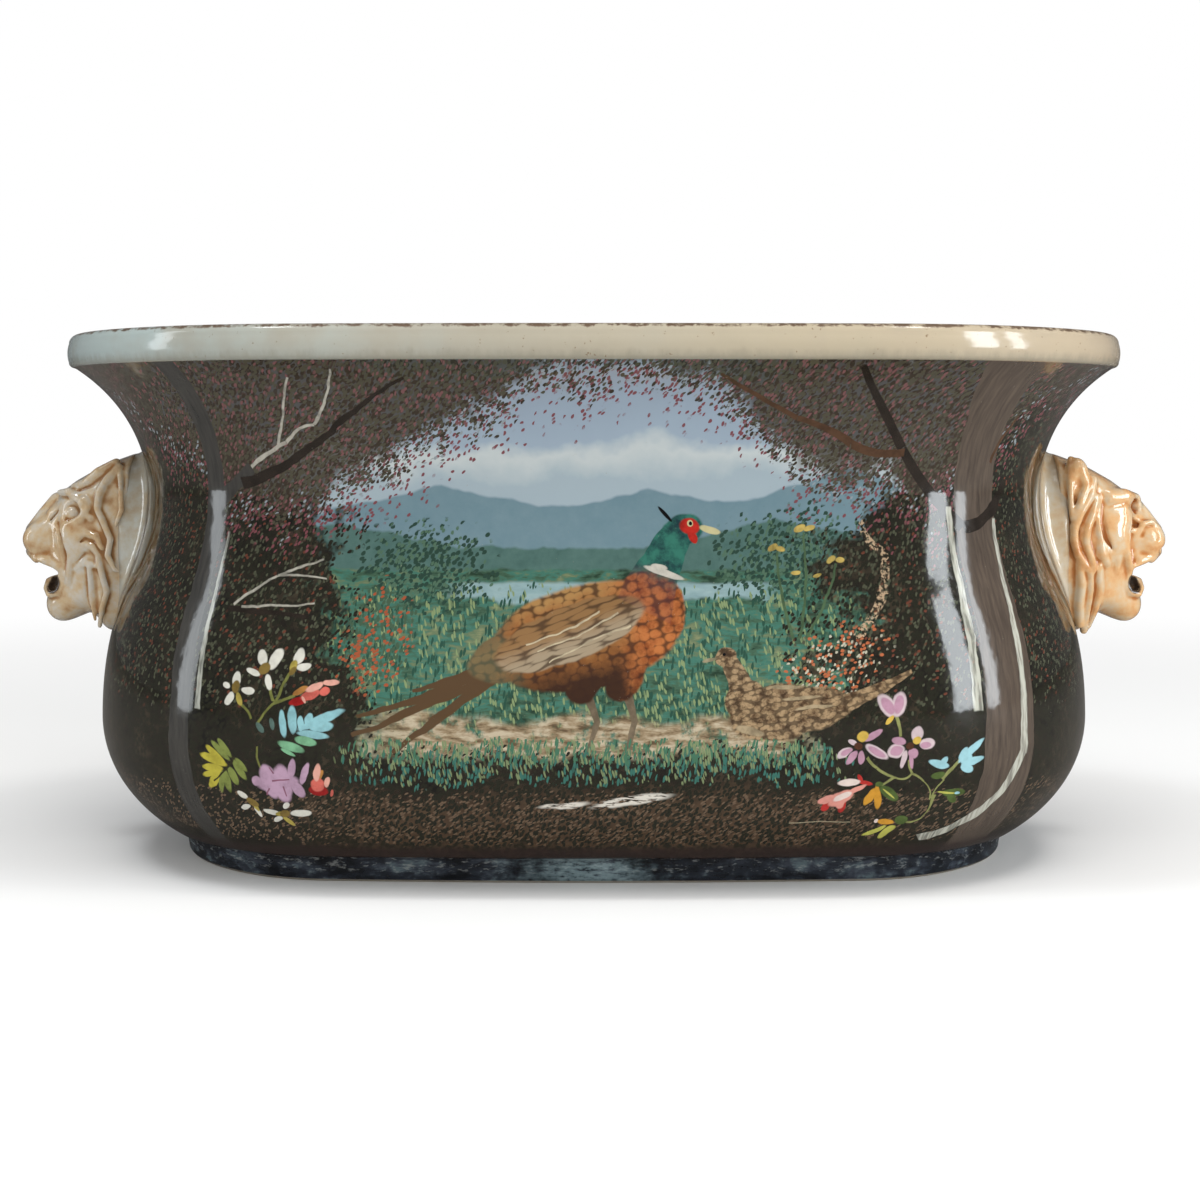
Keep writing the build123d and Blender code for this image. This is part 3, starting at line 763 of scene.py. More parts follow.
left_spray.touch((0.25, 0.48, 0.52), (
    (-97.9, 53.1, -98.6, 61.3, 1.0), (-95.3, 54.2, -95.4, 62.6, 1.3), (-93.1, 54.8, -93.0, 59.6, 0.8),
    (-93.6, 55.6, -79.8, 61.8, 1.5), (-91.4, 56.6, -90.0, 60.6, 1.2), (-90.8, 56.4, -83.0, 56.8, 1.7),
    (-94.0, 54.4, -84.6, 53.4, 1.2),
), 0.7)
left_spray.touch((0.18, 0.40, 0.23), (
    (-94.6, 52.4, -88.4, 51.1, 1.4), (-99.8, 51.4, -92.1, 48.5, 1.4), (-99.0, 49.4, -94.6, 46.8, 0.6),
), 0.6)
left_spray.touch((0.46, 0.40, 0.05), (
    (-116.5, 43.1, -125.5, 46.1, 1.4), (-116.9, 43.5, -123.2, 49.0, 1.1), (-117.8, 41.7, -124.9, 41.7, 1.3),
    (-118.6, 39.9, -123.6, 34.9, 1.4), (-118.2, 41.0, -125.0, 38.6, 1.1),
), 0.65)
left_spray.touch((0.20, 0.24, 0.06), (
    (-115.3, 44.9, -120.9, 50.3, 1.0), (-114.4, 45.8, -118.8, 51.3, 1.0), (-117.8, 40.8, -119.5, 33.3, 1.0),
    (-117.0, 41.2, -116.5, 33.8, 1.1), (-115.6, 42.6, -113.6, 36.7, 1.2), (-114.0, 44.9, -110.7, 39.0, 1.2),
    (-113.0, 45.4, -109.8, 41.4, 0.9),
), 0.5)
left_spray.draw((0.03, 0.028, 0.012), ((-113.4, 46, -121.6, 37, 0.3, 0.2, 0.5),))
left_spray.touch((0.46, 0.30, 0.41), (
    (-107.3, 37.6, -94.0, 38.5, 3.1), (-104.0, 43.5, -101.6, 33.0, 2.8), (-99.4, 43.8, -98.6, 31.6, 3.0),
    (-96.4, 39.4, -95.3, 45.8, 1.1), (-93.2, 37.6, -91.0, 44.7, 1.1), (-108.8, 38.0, -105.7, 39.0, 1.6),
    (-95.6, 38.4, -93.2, 33.4, 1.6),
), 0.72)
left_spray.draw((0.24, 0.09, 0.14), (
    (-102.2, 38.6, -96.6, 39.0, 0.25, 0.2, 0.2), (-103.6, 36.4, -104.6, 33.8, 0.2, 0.15, 0),
    (-98.6, 36.6, -98.0, 33.2, 0.2, 0.15, 0), (-101.4, 41.0, -102.6, 43.0, 0.2, 0.15, 0),
))
left_spray.dry()

# Spray of lilac flowers, coral bells and blue leaves at lower right
right_spray = Brushwork("right_spray")
right_spray.draw((0.24, 0.25, 0.09), (
    (95.7, 59.9, 97.0, 53.1, 0.45, 0.4, 0.3), (86.6, 46.9, 90.0, 43.2, 0.5, 0.4, -0.3),
    (90.0, 43.2, 95.7, 40.0, 0.4, 0.35, -0.4), (95.7, 40.0, 100.8, 41.1, 0.35, 0.35, -0.9),
    (100.8, 41.1, 99.8, 45.4, 0.35, 0.3, 0.4), (100.8, 40.9, 104.6, 38.2, 0.35, 0.25, 0.3),
    (94.9, 40.0, 91.6, 37.4, 0.35, 0.35, 0), (104.6, 38.2, 107.8, 31.4, 0.15, 0.25, 0.8),
    (109.0, 33.3, 107.6, 27.2, 0.6, 0.25, 0.2), (107.6, 27.2, 101.4, 23.8, 0.2, 0.4, 0.9),
    (110.4, 38.6, 116.2, 45.0, 0.7, 0.5, 0), (108.2, 31.8, 111.2, 38.4, 0.25, 0.3, 0.8),
))
right_spray.touch((0.55, 0.44, 0.46), (
    (95.2, 59.7, 91.2, 66.5, 2.2), (95.4, 59.7, 97.7, 67.1, 2.2), (102.8, 50.7, 107.6, 50.2, 1.9),
    (101.4, 51.6, 102.4, 56.4, 1.7), (81.9, 49.4, 77.5, 46.4, 1.2), (86.6, 50.3, 93.3, 46.2, 1.5),
    (98.3, 49.1, 93.4, 47.5, 1.9), (83.5, 51.0, 81.0, 51.9, 0.8), (98.9, 48.3, 97.3, 43.1, 0.9),
), 0.8)
right_spray.touch((0.43, 0.24, 0.32), (
    (94.8, 60.6, 91.8, 65.6, 1.5), (95.8, 60.6, 97.3, 66.2, 1.4), (86.2, 51.9, 91.6, 55.4, 1.2),
    (87.4, 49.8, 92.6, 46.6, 1.0), (85.0, 48.8, 84.6, 44.6, 1.0), (83.5, 48.7, 80.4, 44.4, 0.9),
    (82.2, 49.2, 78.8, 47.2, 0.8), (97.9, 49.0, 94.2, 47.7, 1.3), (100.4, 48.9, 101.7, 46.0, 1.5),
    (103.0, 50.2, 106.4, 49.8, 1.1), (100.2, 48.4, 100.6, 42.6, 0.6), (98.5, 51.0, 94.9, 52.1, 1.4),
), 0.75)
right_spray.touch((0.56, 0.38, 0.07), (
    (83.9, 52.4, 87.0, 54.4, 1.7), (101.4, 50.6, 102.3, 53.2, 1.2), (95.0, 59.9, 92.5, 57.4, 0.8),
), 0.7)
right_spray.touch((0.075, 0.028, 0.014), ((82.6, 50.6, 85.4, 50.0, 1.1), (98.8, 49.6, 101.0, 50.2, 1.3)))
right_spray.touch((0.44, 0.03, 0.025), (
    (89.0, 37.6, 84.4, 38.6, 0.7), (85.6, 38.4, 83.9, 41.2, 0.7), (80.4, 33.4, 79.2, 27.8, 1.1),
    (76.0, 31.6, 73.6, 28.4, 1.2),
))
right_spray.touch((0.64, 0.27, 0.22), (
    (87.0, 37.4, 79.9, 34.2, 0.7), (82.6, 35.2, 75.6, 30.4, 2.1), (77.6, 33.3, 72.2, 31.2, 1.2),
    (80.0, 33.6, 78.4, 29.4, 1.3),
), 0.8)
right_spray.touch((0.70, 0.58, 0.53), (
    (84.8, 38.6, 77.8, 38.2, 1.3), (82.2, 35.0, 77.0, 32.0, 1.0), (92.4, 24.4, 91.0, 24.5, 0.8),
), 0.85)
right_spray.touch((0.56, 0.27, 0.03), (
    (90.4, 37.0, 91.4, 29.0, 1.2), (90.0, 36.2, 86.8, 30.7, 1.3), (97.5, 23.7, 92.2, 24.4, 1.1),
), 0.7)
right_spray.touch((0.075, 0.115, 0.03), (
    (91.6, 37.0, 97.1, 32.0, 1.6), (97.7, 25.4, 101.8, 24.2, 1.7), (106.6, 40.0, 111.1, 40.4, 1.2),
    (111.5, 33.8, 119.0, 33.8, 1.4), (113.4, 33.0, 116.8, 30.3, 1.1), (90.0, 37.2, 92.0, 38.2, 0.8),
), 0.6)
right_spray.touch((0.44, 0.43, 0.09), (
    (95.3, 22.4, 88.1, 19.0, 0.8), (98.3, 22.4, 93.3, 18.2, 1.2), (92.4, 36.0, 96.2, 32.6, 0.3),
    (110.0, 34.0, 115.6, 33.6, 0.35),
), 0.8)
right_spray.touch((0.30, 0.53, 0.58), (
    (112.1, 42.8, 105.8, 44.9, 1.2), (109.4, 43.6, 111.4, 46.0, 1.0), (115.5, 43.9, 123.8, 51.0, 1.2),
    (115.9, 44.3, 118.0, 48.6, 1.3), (116.6, 43.2, 123.9, 45.0, 1.1), (116.6, 42.9, 120.2, 40.8, 1.5),
    (116.4, 43.6, 119.8, 45.8, 1.6), (115.6, 33.6, 117.4, 33.5, 0.5),
), 0.8)
right_spray.dry()

# Wear: glaze flaked off to the white body at the front, a scratch, specks and rubbed places
wear = Layer("wear", canvas="Vector", fine="Float", up="Float", under="Color")
wear.canvas, fine, up, wear.ground = wear.given.values()
flake = wear.dabs(((-17, 30, -2, 31.6, 0.9, 0.3), (0, 30.4, 24, 34.6, 1.7, 0.25)))
flake = flake * wear.cloud(wear.stretch(wear.canvas, 0.16, 1, 1), 1.1, 3, 0.6).step(0.44, 0.5)
wear.cover(flake, (0.62, 0.58, 0.51))
rubbed = wear.cloud(wear.place(), 1.3, 3, 0.7)
rub_line = wear.stalks(((84, 84, 95, 112, 1.6, 1.6, -4), (95, 112, 88, 122, 1.4, 1.0, 2)))
wear.cover(rub_line * rubbed.step(0.50, 0.56), (0.42, 0.30, 0.19))
scratch = wear.stalk((63, 24.2), (83, 24.6), 0.16, 0.12)
wear.cover(scratch * 0.7, (0.42, 0.36, 0.24))
wear.cover(rubbed.step(0.71, 0.74) * 0.5, (0.30, 0.28, 0.23))
# The dip line of the foot's glaze along the toe
DIP_LINE = 15.5
toe = (DIP_LINE - up + (fine - 0.5) * 5).step(0, 2.5) * 0.75
wear.cover(toe, (0.030, 0.017, 0.016))
wear.give(ground=wear.ground, flake=flake)

# The wall in three stretches, each with the layers that it shows
LEFT, MIDDLE, RIGHT, INNER = range(4)
stretches = {
    LEFT: ("left", (left_trees, weeds, tufts, left_spray)),
    MIDDLE: ("middle", (weeds, cock, hen, tufts)),
    RIGHT: ("right", (right_trees, weeds, hen, tufts, right_spray)),
}
for side_name, layers in stretches.values():
    painted = Glaze("dark_painted_glaze_" + side_name)
    view = land.laid_on(painted)
    for layer in layers:
        given = {"canvas": view["canvas"], "grain": view["grain"], "under": view["ground"]}
        view.update(layer.laid_on(painted, **given))
    given = {key: view[key] for key in ("canvas", "fine", "up")}
    view.update(wear.laid_on(painted, under=view["ground"], **given))
    relief = view["coarse"] * 0.8 + view["sway"] * 0.4 - view["flake"] * 0.12
    painted.finish(
        {"Coat Weight": 0.25, "Coat Roughness": 0.03},
        {
            "Base Color": view["ground"],
            "Roughness": 0.09 + (view["fine"] - 0.5) * 0.08 + view["flake"] * 0.3,
            "Normal": painted.bump(relief, 0.22, 1.2 * MM),
        },
    )
    body.data.materials.append(painted.material)

# Inside, the wall is glazed white, with faint tide rings from years of pots
white = Glaze("white_glaze")
place = white.place()
floor_x = white.part_of(place, "X")
floor_y = white.part_of(place, "Y")
stain = white.cloud(place, 34, 5, 0.6)
pit = white.cloud(place, 1.8, 3, 0.7)
tide = abs((floor_x * floor_x + floor_y * floor_y * 3.2) / 15000 + (stain - 0.5) * 0.4 - 0.7)
slab = white.lay(stain, (0.62, 0.60, 0.52), (0.74, 0.72, 0.65))
slab = white.lay((1 - tide.step(0.0, 0.09)) * 0.45, slab, (0.42, 0.35, 0.24))
slab = white.lay((pit - 0.66).step(0, 0.04) * 0.7, slab, (0.20, 0.13, 0.07))
white.finish(
    {"Coat Weight": 0.2},
    {
        "Base Color": slab,
        "Roughness": 0.14 + (1 - tide.step(0.0, 0.12)) * 0.25,
        "Normal": white.bump(stain, 0.2, 1 * MM),
    },
)
body.data.materials.append(white.material)
# Which stretch each face lies in. The middle one ends sooner at the branches' level than below
BRANCH_LEVEL = 128
LEFT_ENDS = (-56, -78)
RIGHT_ENDS = (36, 66)
across = (-np.sign(points[:, 0] * points[:, 1]) * way_round)[:, None]
branches = section[None, :, 1] / MM > BRANCH_LEVEL
stretch = np.where(across < np.where(branches, *LEFT_ENDS), LEFT, MIDDLE)
stretch = np.where(across > np.where(branches, *RIGHT_ENDS), RIGHT, stretch)
stretch[:, len(outer_side):] = INNER
body.data.polygons.foreach_set("material_index", stretch.ravel().astype(np.int32))
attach(body, "root")
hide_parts("body_wall")

# Rim. A thick roll of the same clay pressed down over the wall's top edge, left cream and
# glazed clear, with a thin worn line of brown gilding on its crest and iron specks in the glaze.
rim_low, rim_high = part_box("rim_band")
RIM_FACE = min(rim_high.x - foot_corner.x, rim_high.y - foot_corner.y)
RIM_BULGE = 0.5 * MM
RIM_LOWER_ROUND = 1.8 * MM
RIM_ROUND = 3.2 * MM
RIM_FLAT = 3 * MM
rim_face = RIM_FACE - RIM_BULGE
rim_inner = MOUTH_OFFSET - WALL / math.sin(FLARE_SLOPE)


def bend(centre_x, centre_z, radius, first, last, count=9):
    """Points of a rounded edge, angles in degrees."""
    angle = np.radians(np.linspace(first, last, count))
    return np.stack([centre_x + radius * np.cos(angle), centre_z + radius * np.sin(angle)], 1)


rise = rim_high.z - rim_low.z
bulge = np.linspace(0, 1, 9)[1:-1, None]
lower_edge = bend(rim_face - RIM_LOWER_ROUND, rim_low.z + RIM_LOWER_ROUND, RIM_LOWER_ROUND, -90, 0)
upper_edge = bend(rim_face - RIM_ROUND, rim_high.z - RIM_ROUND, RIM_ROUND, 0, 90)
front = lower_edge[-1] + bulge * (upper_edge[0] - lower_edge[-1])
front[:, 0] += RIM_BULGE * (1 - (2 * bulge[:, 0] - 1) ** 2)
crest = upper_edge[-1] - (RIM_FLAT, 0)
half_rise = rise / 2 * np.array([math.cos(FLARE_SLOPE), math.sin(FLARE_SLOPE)])
inner_foot = np.array([rim_inner, rim_low.z])
inner_roll = bezier((crest, crest - (RIM_ROUND, 0), inner_foot + half_rise, inner_foot), 16)
rim = ring_mesh(
    "rim_roll",
    np.concatenate([lower_edge, front, upper_edge, inner_roll, [inner_foot]]),
)

cream = Glaze("cream_glaze")
place = cream.place()
along_rim = cream.part_of(place, "X")
rim_up = cream.part_of(place, "Z")
blotch = cream.cloud(place, 30, 4)
speck = cream.cloud(place, 1.6, 2, 0.7)
line = cream.cloud(cream.stretch(place, 1, 1, 0.3), 5, 4, 0.7)
RIM_LENGTH = 380
warmth = along_rim / RIM_LENGTH + 0.5 + (blotch - 0.5) * 0.5
clay = cream.shades(
    warmth,
    (
        (0.08, (0.36, 0.42, 0.41)),
        (0.35, (0.36, 0.34, 0.28)),
        (0.65, (0.42, 0.36, 0.26)),
        (0.95, (0.47, 0.38, 0.27)),
    ),
)
clay = cream.lay((blotch - 0.45).step(0, 0.25) * 0.4, clay, (0.30, 0.285, 0.235))
# The glaze is thin and dirty where the roll meets the painted wall
SEAM_LINE = 177.5
seam = (SEAM_LINE - rim_up + (line - 0.5) * 5).step(0, 4)
clay = cream.lay(seam * 0.55, clay, (0.19, 0.18, 0.14))
clay = cream.lay((speck - 0.69).step(0, 0.05) * 0.7, clay, (0.16, 0.09, 0.04))
GILDED_ABOVE = 183.9
gilding = (rim_up - GILDED_ABOVE + (line - 0.5) * 3.0).step(-0.2, 0.4)
worn = (line + (speck - 0.5) * 0.5).step(0.40, 0.54)
clay = cream.lay(gilding * worn * 0.9, clay, (0.085, 0.042, 0.018))
cream.finish(
    {"Coat Weight": 0.3, "Coat Roughness": 0.05},
    {
        "Base Color": clay,
        "Roughness": 0.12 + gilding * worn * 0.3 + (blotch - 0.5) * 0.1,
        "Normal": cream.bump(blotch * 0.6 + line * 0.12, 0.25, 1.5 * MM),
    },
)
rim.data.materials.append(cream.material)
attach(rim, "root")
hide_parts("rim_band")

# Foot ring. A low ring luted under the wall and floor, dipped in a blue-black glaze that has
# worn to grey and teal on its edge, with a bare white patch at the front.
foot_round = 2.5 * MM
foot_taper = 1.2 * MM
foot_width = 11 * MM
heel = -foot_width
foot = ring_mesh(
    "foot_roll",
    np.concatenate([
        [(0, toe_z)],
        bend(-foot_taper - foot_round, foot_round, foot_round, 0, -90),
        bend(heel + foot_round, foot_round, foot_round, -90, -180),
        [(heel, toe_z)],
    ]),
)

dark = Glaze("blue_black_glaze")
place = dark.place()
foot_x = dark.part_of(place, "X")
foot_y = dark.part_of(place, "Y")
foot_up = dark.part_of(place, "Z")
drift = dark.cloud(dark.stretch(place, 1, 1, 2.5), 16, 5, 0.65)
scuff = dark.cloud(dark.stretch(place, 1, 1, 3), 4, 5, 0.7)
dip = dark.shades(
    drift,
    (
        (0.35, (0.006, 0.007, 0.009)),
        (0.5, (0.018, 0.022, 0.030)),
        (0.62, (0.055, 0.065, 0.085)),
    ),
)
teal = (drift * 0.6 + scuff * 0.4).step(0.52, 0.62)
dip = dark.lay(teal * 0.75, dip, (0.10, 0.14, 0.15))
dust = scuff.step(0.54, 0.66) * (foot_up - 2).step(0, 4)
dip = dark.lay(dust * 0.6, dip, (0.24, 0.25, 0.24))
bare = (1 - abs(foot_x + 2) / 34 + (drift - 0.5) * 2.2).step(0.0, 0.9) * (-foot_y).step(0, 20)
bare = bare * scuff.step(0.34, 0.54)
dip = dark.lay(bare * 0.65, dip, dark.lay(drift, (0.09, 0.19, 0.22), (0.34, 0.41, 0.42)))
tread = (0.8 - foot_up).step(-0.3, 0.3)
dip = dark.lay(tread, dip, (0.36, 0.32, 0.26))
dark.finish(
    {"Coat Weight": 0.15},
    {
        "Base Color": dip,
        "Roughness": 0.2 + dust * 0.35 + tread * 0.4,
        "Normal": dark.bump(scuff, 0.25, 0.6 * MM),
    },
)
foot.data.materials.append(dark.material)
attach(foot, "root")
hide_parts("foot_ring")

# Floor slab. Rolled flat, let in flush between the wall's toes and glazed white inside with the
# well; years of pots have left faint tide rings on it.
slab_node = frame["nodes"]["floor_slab"]
slab_node.data.materials.clear()
slab_node.data.materials.append(white.material)

# Lion masks. Each is pressed in one mould, luted over a stub on its seat, and lustred amber
# over cream. The two are the same pressing, so the left one is the right one turned half round.
def block_of_clay(low, high, step):
    """Grid that a form is modelled on: out from the neck, across, and above the table."""
    return [np.arange(first, last, step, dtype=np.float32) for first, last in zip(low, high)]


STEP = 0.48
MASK_LOW = (2.0, -28.0, 75.0)
grid = block_of_clay(MASK_LOW, (51.5, 28.0, 145.5), STEP)
out, side, height = np.meshgrid(*grid, indexing="ij")


def ball(x, y, z, long, wide, tall):
    """Distance to an ellipsoid."""
    near = np.sqrt(((out - x) / long) ** 2 + ((side - y) / wide) ** 2 + ((height - z) / tall) ** 2)
    slope = np.sqrt(
        ((out - x) / long ** 2) ** 2 + ((side - y) / wide ** 2) ** 2 + ((height - z) / tall ** 2) ** 2
    )
    return near * (near - 1) / np.maximum(slope, 1e-4)


def roll(points, girths):
    """Distance to a roll of clay laid along points, its girth given at each."""
    nearest = None
    for (ax, ay, az), (bx, by, bz), first, last in zip(points, points[1:], girths, girths[1:]):
        dx, dy, dz = bx - ax, by - ay, bz - az
        share = ((out - ax) * dx + (side - ay) * dy + (height - az) * dz) / (dx * dx + dy * dy + dz * dz)
        share = np.clip(share, 0, 1)
        gap = np.sqrt(
            (out - ax - share * dx) ** 2 + (side - ay - share * dy) ** 2 + (height - az - share * dz) ** 2
        )
        gap = gap - first - (last - first) * share
        nearest = gap if nearest is None else np.minimum(nearest, gap)
    return nearest


def luted(a, b, slip):
    """Two forms joined with a fillet of slip."""
    share = np.clip(0.5 + 0.5 * (b - a) / slip, 0, 1)
    return b + (a - b) * share - slip * share * (1 - share)


def carved(a, b, slip):
    """The first form with the second one cut out of it."""
    return -luted(-a, b, slip)


def profile_form(outline, half_width, soft):
    """A form with a drawn side view, as wide as half_width says and rounded to its outline."""
    outline = np.array(outline, float)
    grid_x, grid_z = np.meshgrid(grid[0], grid[2], indexing="ij")
    inside = np.zeros(grid_x.shape, bool)
    reach = np.full(grid_x.shape, 1e9)
    for (ax, az), (bx, bz) in zip(outline, np.roll(outline, -1, 0)):
        dx, dz = bx - ax, bz - az
        share = np.clip(((grid_x - ax) * dx + (grid_z - az) * dz) / (dx * dx + dz * dz), 0, 1)
        reach = np.minimum(reach, np.hypot(grid_x - ax - share * dx, grid_z - az - share * dz))
        crosses = (az > grid_z) != (bz > grid_z)
        inside ^= crosses & (grid_x < ax + (grid_z - az) * dx / (bz - az if bz != az else 1))
    share = np.where(inside, reach, -reach) / soft
    share = np.clip(share, -3, 1)[:, None, :]
    wide = half_width(out, height)
    return (np.sqrt((side / wide) ** 2 + (1 - share) ** 2) - 1) * np.minimum(wide, soft)


def head_width(x, z):
    """Half width of the head: broad at the mane, narrowing to the muzzle."""
    wide = np.interp(x, (0, 8, 16, 24, 30, 36, 41, 48), (16.5, 17.5, 17.2, 15.2, 12.6, 9.2, 7.8, 6.2))
    return wide * np.interp(z, (76, 84, 92, 104, 120, 130, 142), (0.72, 0.80, 0.90, 1.0, 1.0, 0.94, 0.84))


HEAD = (
    (-6, 143.5), (7, 142.6), (12, 140.8), (17, 138.8), (20, 137.4), (22.5, 136.0), (25, 134.6),
    (28, 132.9), (30, 131.4), (32, 130.0), (33.6, 128.6), (34.8, 127.2), (35.7, 125.8),
    (37.4, 124.4), (39, 122.9), (40.4, 121.4), (42, 119.8), (43.6, 118.3), (45, 116.7),
    (46.4, 115.2), (47, 113.4), (47, 111.2), (46.6, 109.2), (45.9, 107.5), (44.6, 105.9),
    (42.6, 104.4), (40.6, 103.3), (39.0, 102.0), (38.6, 99), (38.4, 94), (38.5, 91), (38.5, 87.8),
    (38, 85.4), (37, 83.6), (35.4, 82.3), (33.6, 81.6), (31.5, 81.5), (29, 82.0), (26, 83.2),
    (23.6, 84.2), (21.8, 84.0), (20.0, 82.6), (18.6, 80.6), (17.2, 79), (15.5, 77.8), (-6, 77.5),
)
MOUTH = (
    (41, 103.4), (38.6, 102.3), (34.8, 101.2), (33.2, 100.2), (32.4, 99.1), (33.6, 98.4),
    (35.4, 98.2), (37.4, 97.6), (41, 96.6),
)
lion = profile_form(HEAD, head_width, 7.0)
# Both sides alike: nose, lips, chin, open mouth with the tongue left between the jaws
lion = luted(lion, roll(((35.5, 0, 125.2), (40, 0, 119.5), (44, 0, 114.5)), (3.2, 3.4, 3.0)), 2.0)
for hand in (1, -1):
    lion = luted(lion, roll(
        ((45, hand * 1.5, 106.6), (41.5, hand * 5.6, 104.8), (37, hand * 8.4, 103.6),
         (33.4, hand * 9.8, 101.2)), (1.8, 2.2, 1.9, 1.4)), 2.0)
    lion = luted(lion, ball(24.5, hand * 11.6, 113, 7.5, 4.8, 9.5), 3.0)
    lion = luted(lion, ball(33.2, hand * 3.5, 87.4, 5.0, 4.8, 5.4), 3.0)
    lion = carved(lion, ball(34.9, hand * 8.6, 95.7, 3.0, 5.4, 3.7), 0.8)
    lion = luted(lion, roll(
        ((32.4, hand * 9.9, 98.6), (31.7, hand * 10.0, 95.4), (33.2, hand * 9.7, 92.2),
         (36.4, hand * 8.4, 91.5), (38.2, hand * 5.6, 93.6), (38.3, hand * 2.5, 96.2)),
        (1.0, 1.1, 1.2, 1.3, 1.2, 1.1)), 0.9)
lion = carved(lion, profile_form(MOUTH, lambda x, z: 40.0, 1.2), 0.7)
# Right cheek, which faces the viewer on the right-hand end
near_side = (
    ("add", 2.5, ((36.0, 4, 126.0), (31, 9.5, 127.2), (25, 13.0, 127.0)), (2.4, 2.8, 2.2)),
    ("ball", 2.5, (28.3, 10.2, 119.3), (5.0, 3.9, 4.9)),
    ("add", 0.9, ((33.4, 8.9, 118.6), (30.4, 12.3, 123.0), (25.4, 14.1, 122.4), (22.4, 15.0, 119.0)),
     (0.7, 1.0, 0.9, 0.6)),
    ("cut", 0.9, ((33.2, 9.6, 115.8), (29.5, 13.0, 113.8), (25.2, 14.6, 115.4)), (0.7, 0.8, 0.5)),
    ("cut", 1.2, ((31.6, 10.8, 119.6), (34.6, 8.6, 117.2), (37.6, 6.8, 115.4)), (0.9, 1.3, 0.8)),
    ("hole", 1.4, (35.3, 6.0, 123.6), (2.2, 3.4, 3.0)),
    ("ball", 1.0, (37.2, 2.8, 123.6), (2.0, 2.2, 1.9)),
    ("ball", 1.6, (40.6, 4.6, 111.3), (6.6, 4.9, 6.7)),
    ("cut", 0.7, ((37.6, 9.2, 112.6), (38.6, 9.6, 114.6), (40.8, 9.6, 115.3), (42.8, 9.2, 114.0),
                  (43.2, 9.1, 111.8), (41.6, 9.7, 110.4), (40.2, 9.9, 111.2)),
     (0.5, 0.7, 0.7, 0.7, 0.6, 0.5, 0.4)),
    ("add", 0.7, ((36.0, 8.6, 114.0), (38.2, 8.6, 117.2), (41.6, 7.4, 117.9), (44.6, 6.0, 115.6)),
     (0.8, 1.0, 1.0, 0.7)),
    ("hole", 0.8, (44.9, 4.8, 108.0), (1.5, 1.6, 1.2)),
    ("add", 1.0, ((30.6, 12.8, 113.2), (30.9, 12.7, 107.4), (32.2, 11.4, 102.4), (32.6, 10.4, 99.4)),
     (1.0, 1.5, 1.5, 1.2)),
    ("cut", 1.2, ((34.0, 10.4, 113.0), (34.6, 10.6, 107.6), (34.4, 10.4, 103.8)), (1.0, 1.6, 0.9)),
    ("add", 0.8, ((20.3, 15.6, 127), (19.6, 16.6, 119), (20.4, 16.5, 113.4), (23.6, 15.3, 109.2),
                  (27.4, 13.8, 104.6), (27.6, 12.8, 99.6)), (0.8, 1.1, 1.1, 1.0, 0.9, 0.5)),
    ("cut", 0.8, ((22.1, 15.8, 125), (21.4, 16.7, 118), (22.4, 16.3, 112.4), (25.4, 15.2, 107.6)),
     (0.4, 0.8, 0.9, 0.4)),
    ("add", 1.0, ((18.4, 14.8, 133.4), (16.8, 17.2, 128.0), (13.0, 18.6, 122.0), (10.6, 19.2, 116.6),
                  (10.5, 19.2, 112.0), (12.0, 18.8, 106.6), (14.8, 17.8, 102.6), (16.6, 17.2, 99.6)),
     (1.6, 1.7, 1.7, 1.7, 1.6, 1.5, 1.3, 1.2)),
    ("add", 0.9, ((19.2, 16.4, 127.4), (17.2, 17.6, 121.0), (15.0, 18.4, 115.8), (14.6, 18.4, 110.8),
                  (16.6, 17.8, 105.6), (18.2, 17.0, 100.8)), (1.0, 1.7, 1.9, 1.8, 1.6, 1.2)),
    ("cut", 0.6, ((18.2, 17.6, 126), (15.0, 19.0, 120.4), (12.6, 19.9, 114.4), (12.8, 19.8, 109.6),
                  (15.4, 19.0, 104.4)), (0.3, 0.6, 0.7, 0.6, 0.3)),
    ("add", 0.8, ((20.6, 16.4, 111.0), (21.2, 16.2, 106.6), (23.2, 15.2, 103.0)), (1.2, 2.1, 1.0)),
    ("add", 0.8, ((16.6, 17.0, 101.2), (17.2, 15.4, 94), (16.4, 13.2, 86), (16.0, 10.4, 78.6)),
     (1.3, 1.7, 1.7, 1.5)),
    ("add", 0.8, ((20.2, 15.6, 102.6), (20.6, 14.4, 95), (19.6, 12.2, 87), (17.6, 9.4, 80.0)),
     (1.2, 1.8, 1.7, 1.3)),
    ("cut", 0.6, ((18.6, 16.8, 101), (18.9, 15.6, 94), (18.0, 13.2, 86), (16.9, 10.6, 80)),
     (0.4, 0.7, 0.7, 0.5)),
    ("add", 1.0, ((12.8, 17.8, 104.0), (13.6, 16.8, 96), (13.2, 15.0, 88), (14.0, 12.4, 81)),
     (1.2, 1.7, 1.7, 1.6)),
    ("ball", 1.5, (12.4, 14.6, 133.0), (4.8, 4.2, 8.4)),
    ("cut", 0.9, ((12.6, 19.2, 137.4), (12.6, 19.8, 131.6), (10.8, 20.4, 125.4)), (0.8, 2.0, 1.0)),
    ("add", 0.7, ((10.0, 14.2, 140.8), (9.4, 17.6, 134), (9.3, 19.0, 126), (9.6, 19.2, 119.4)),
     (0.9, 1.1, 1.1, 0.8)),
    ("add", 0.8, ((10.6, 13.6, 141.0), (14.6, 15.6, 136.6), (15.4, 17.2, 131.8), (12.8, 18.9, 125.6),
                  (10.4, 19.4, 120.0)), (1.0, 1.3, 1.5, 1.3, 0.9)),
)
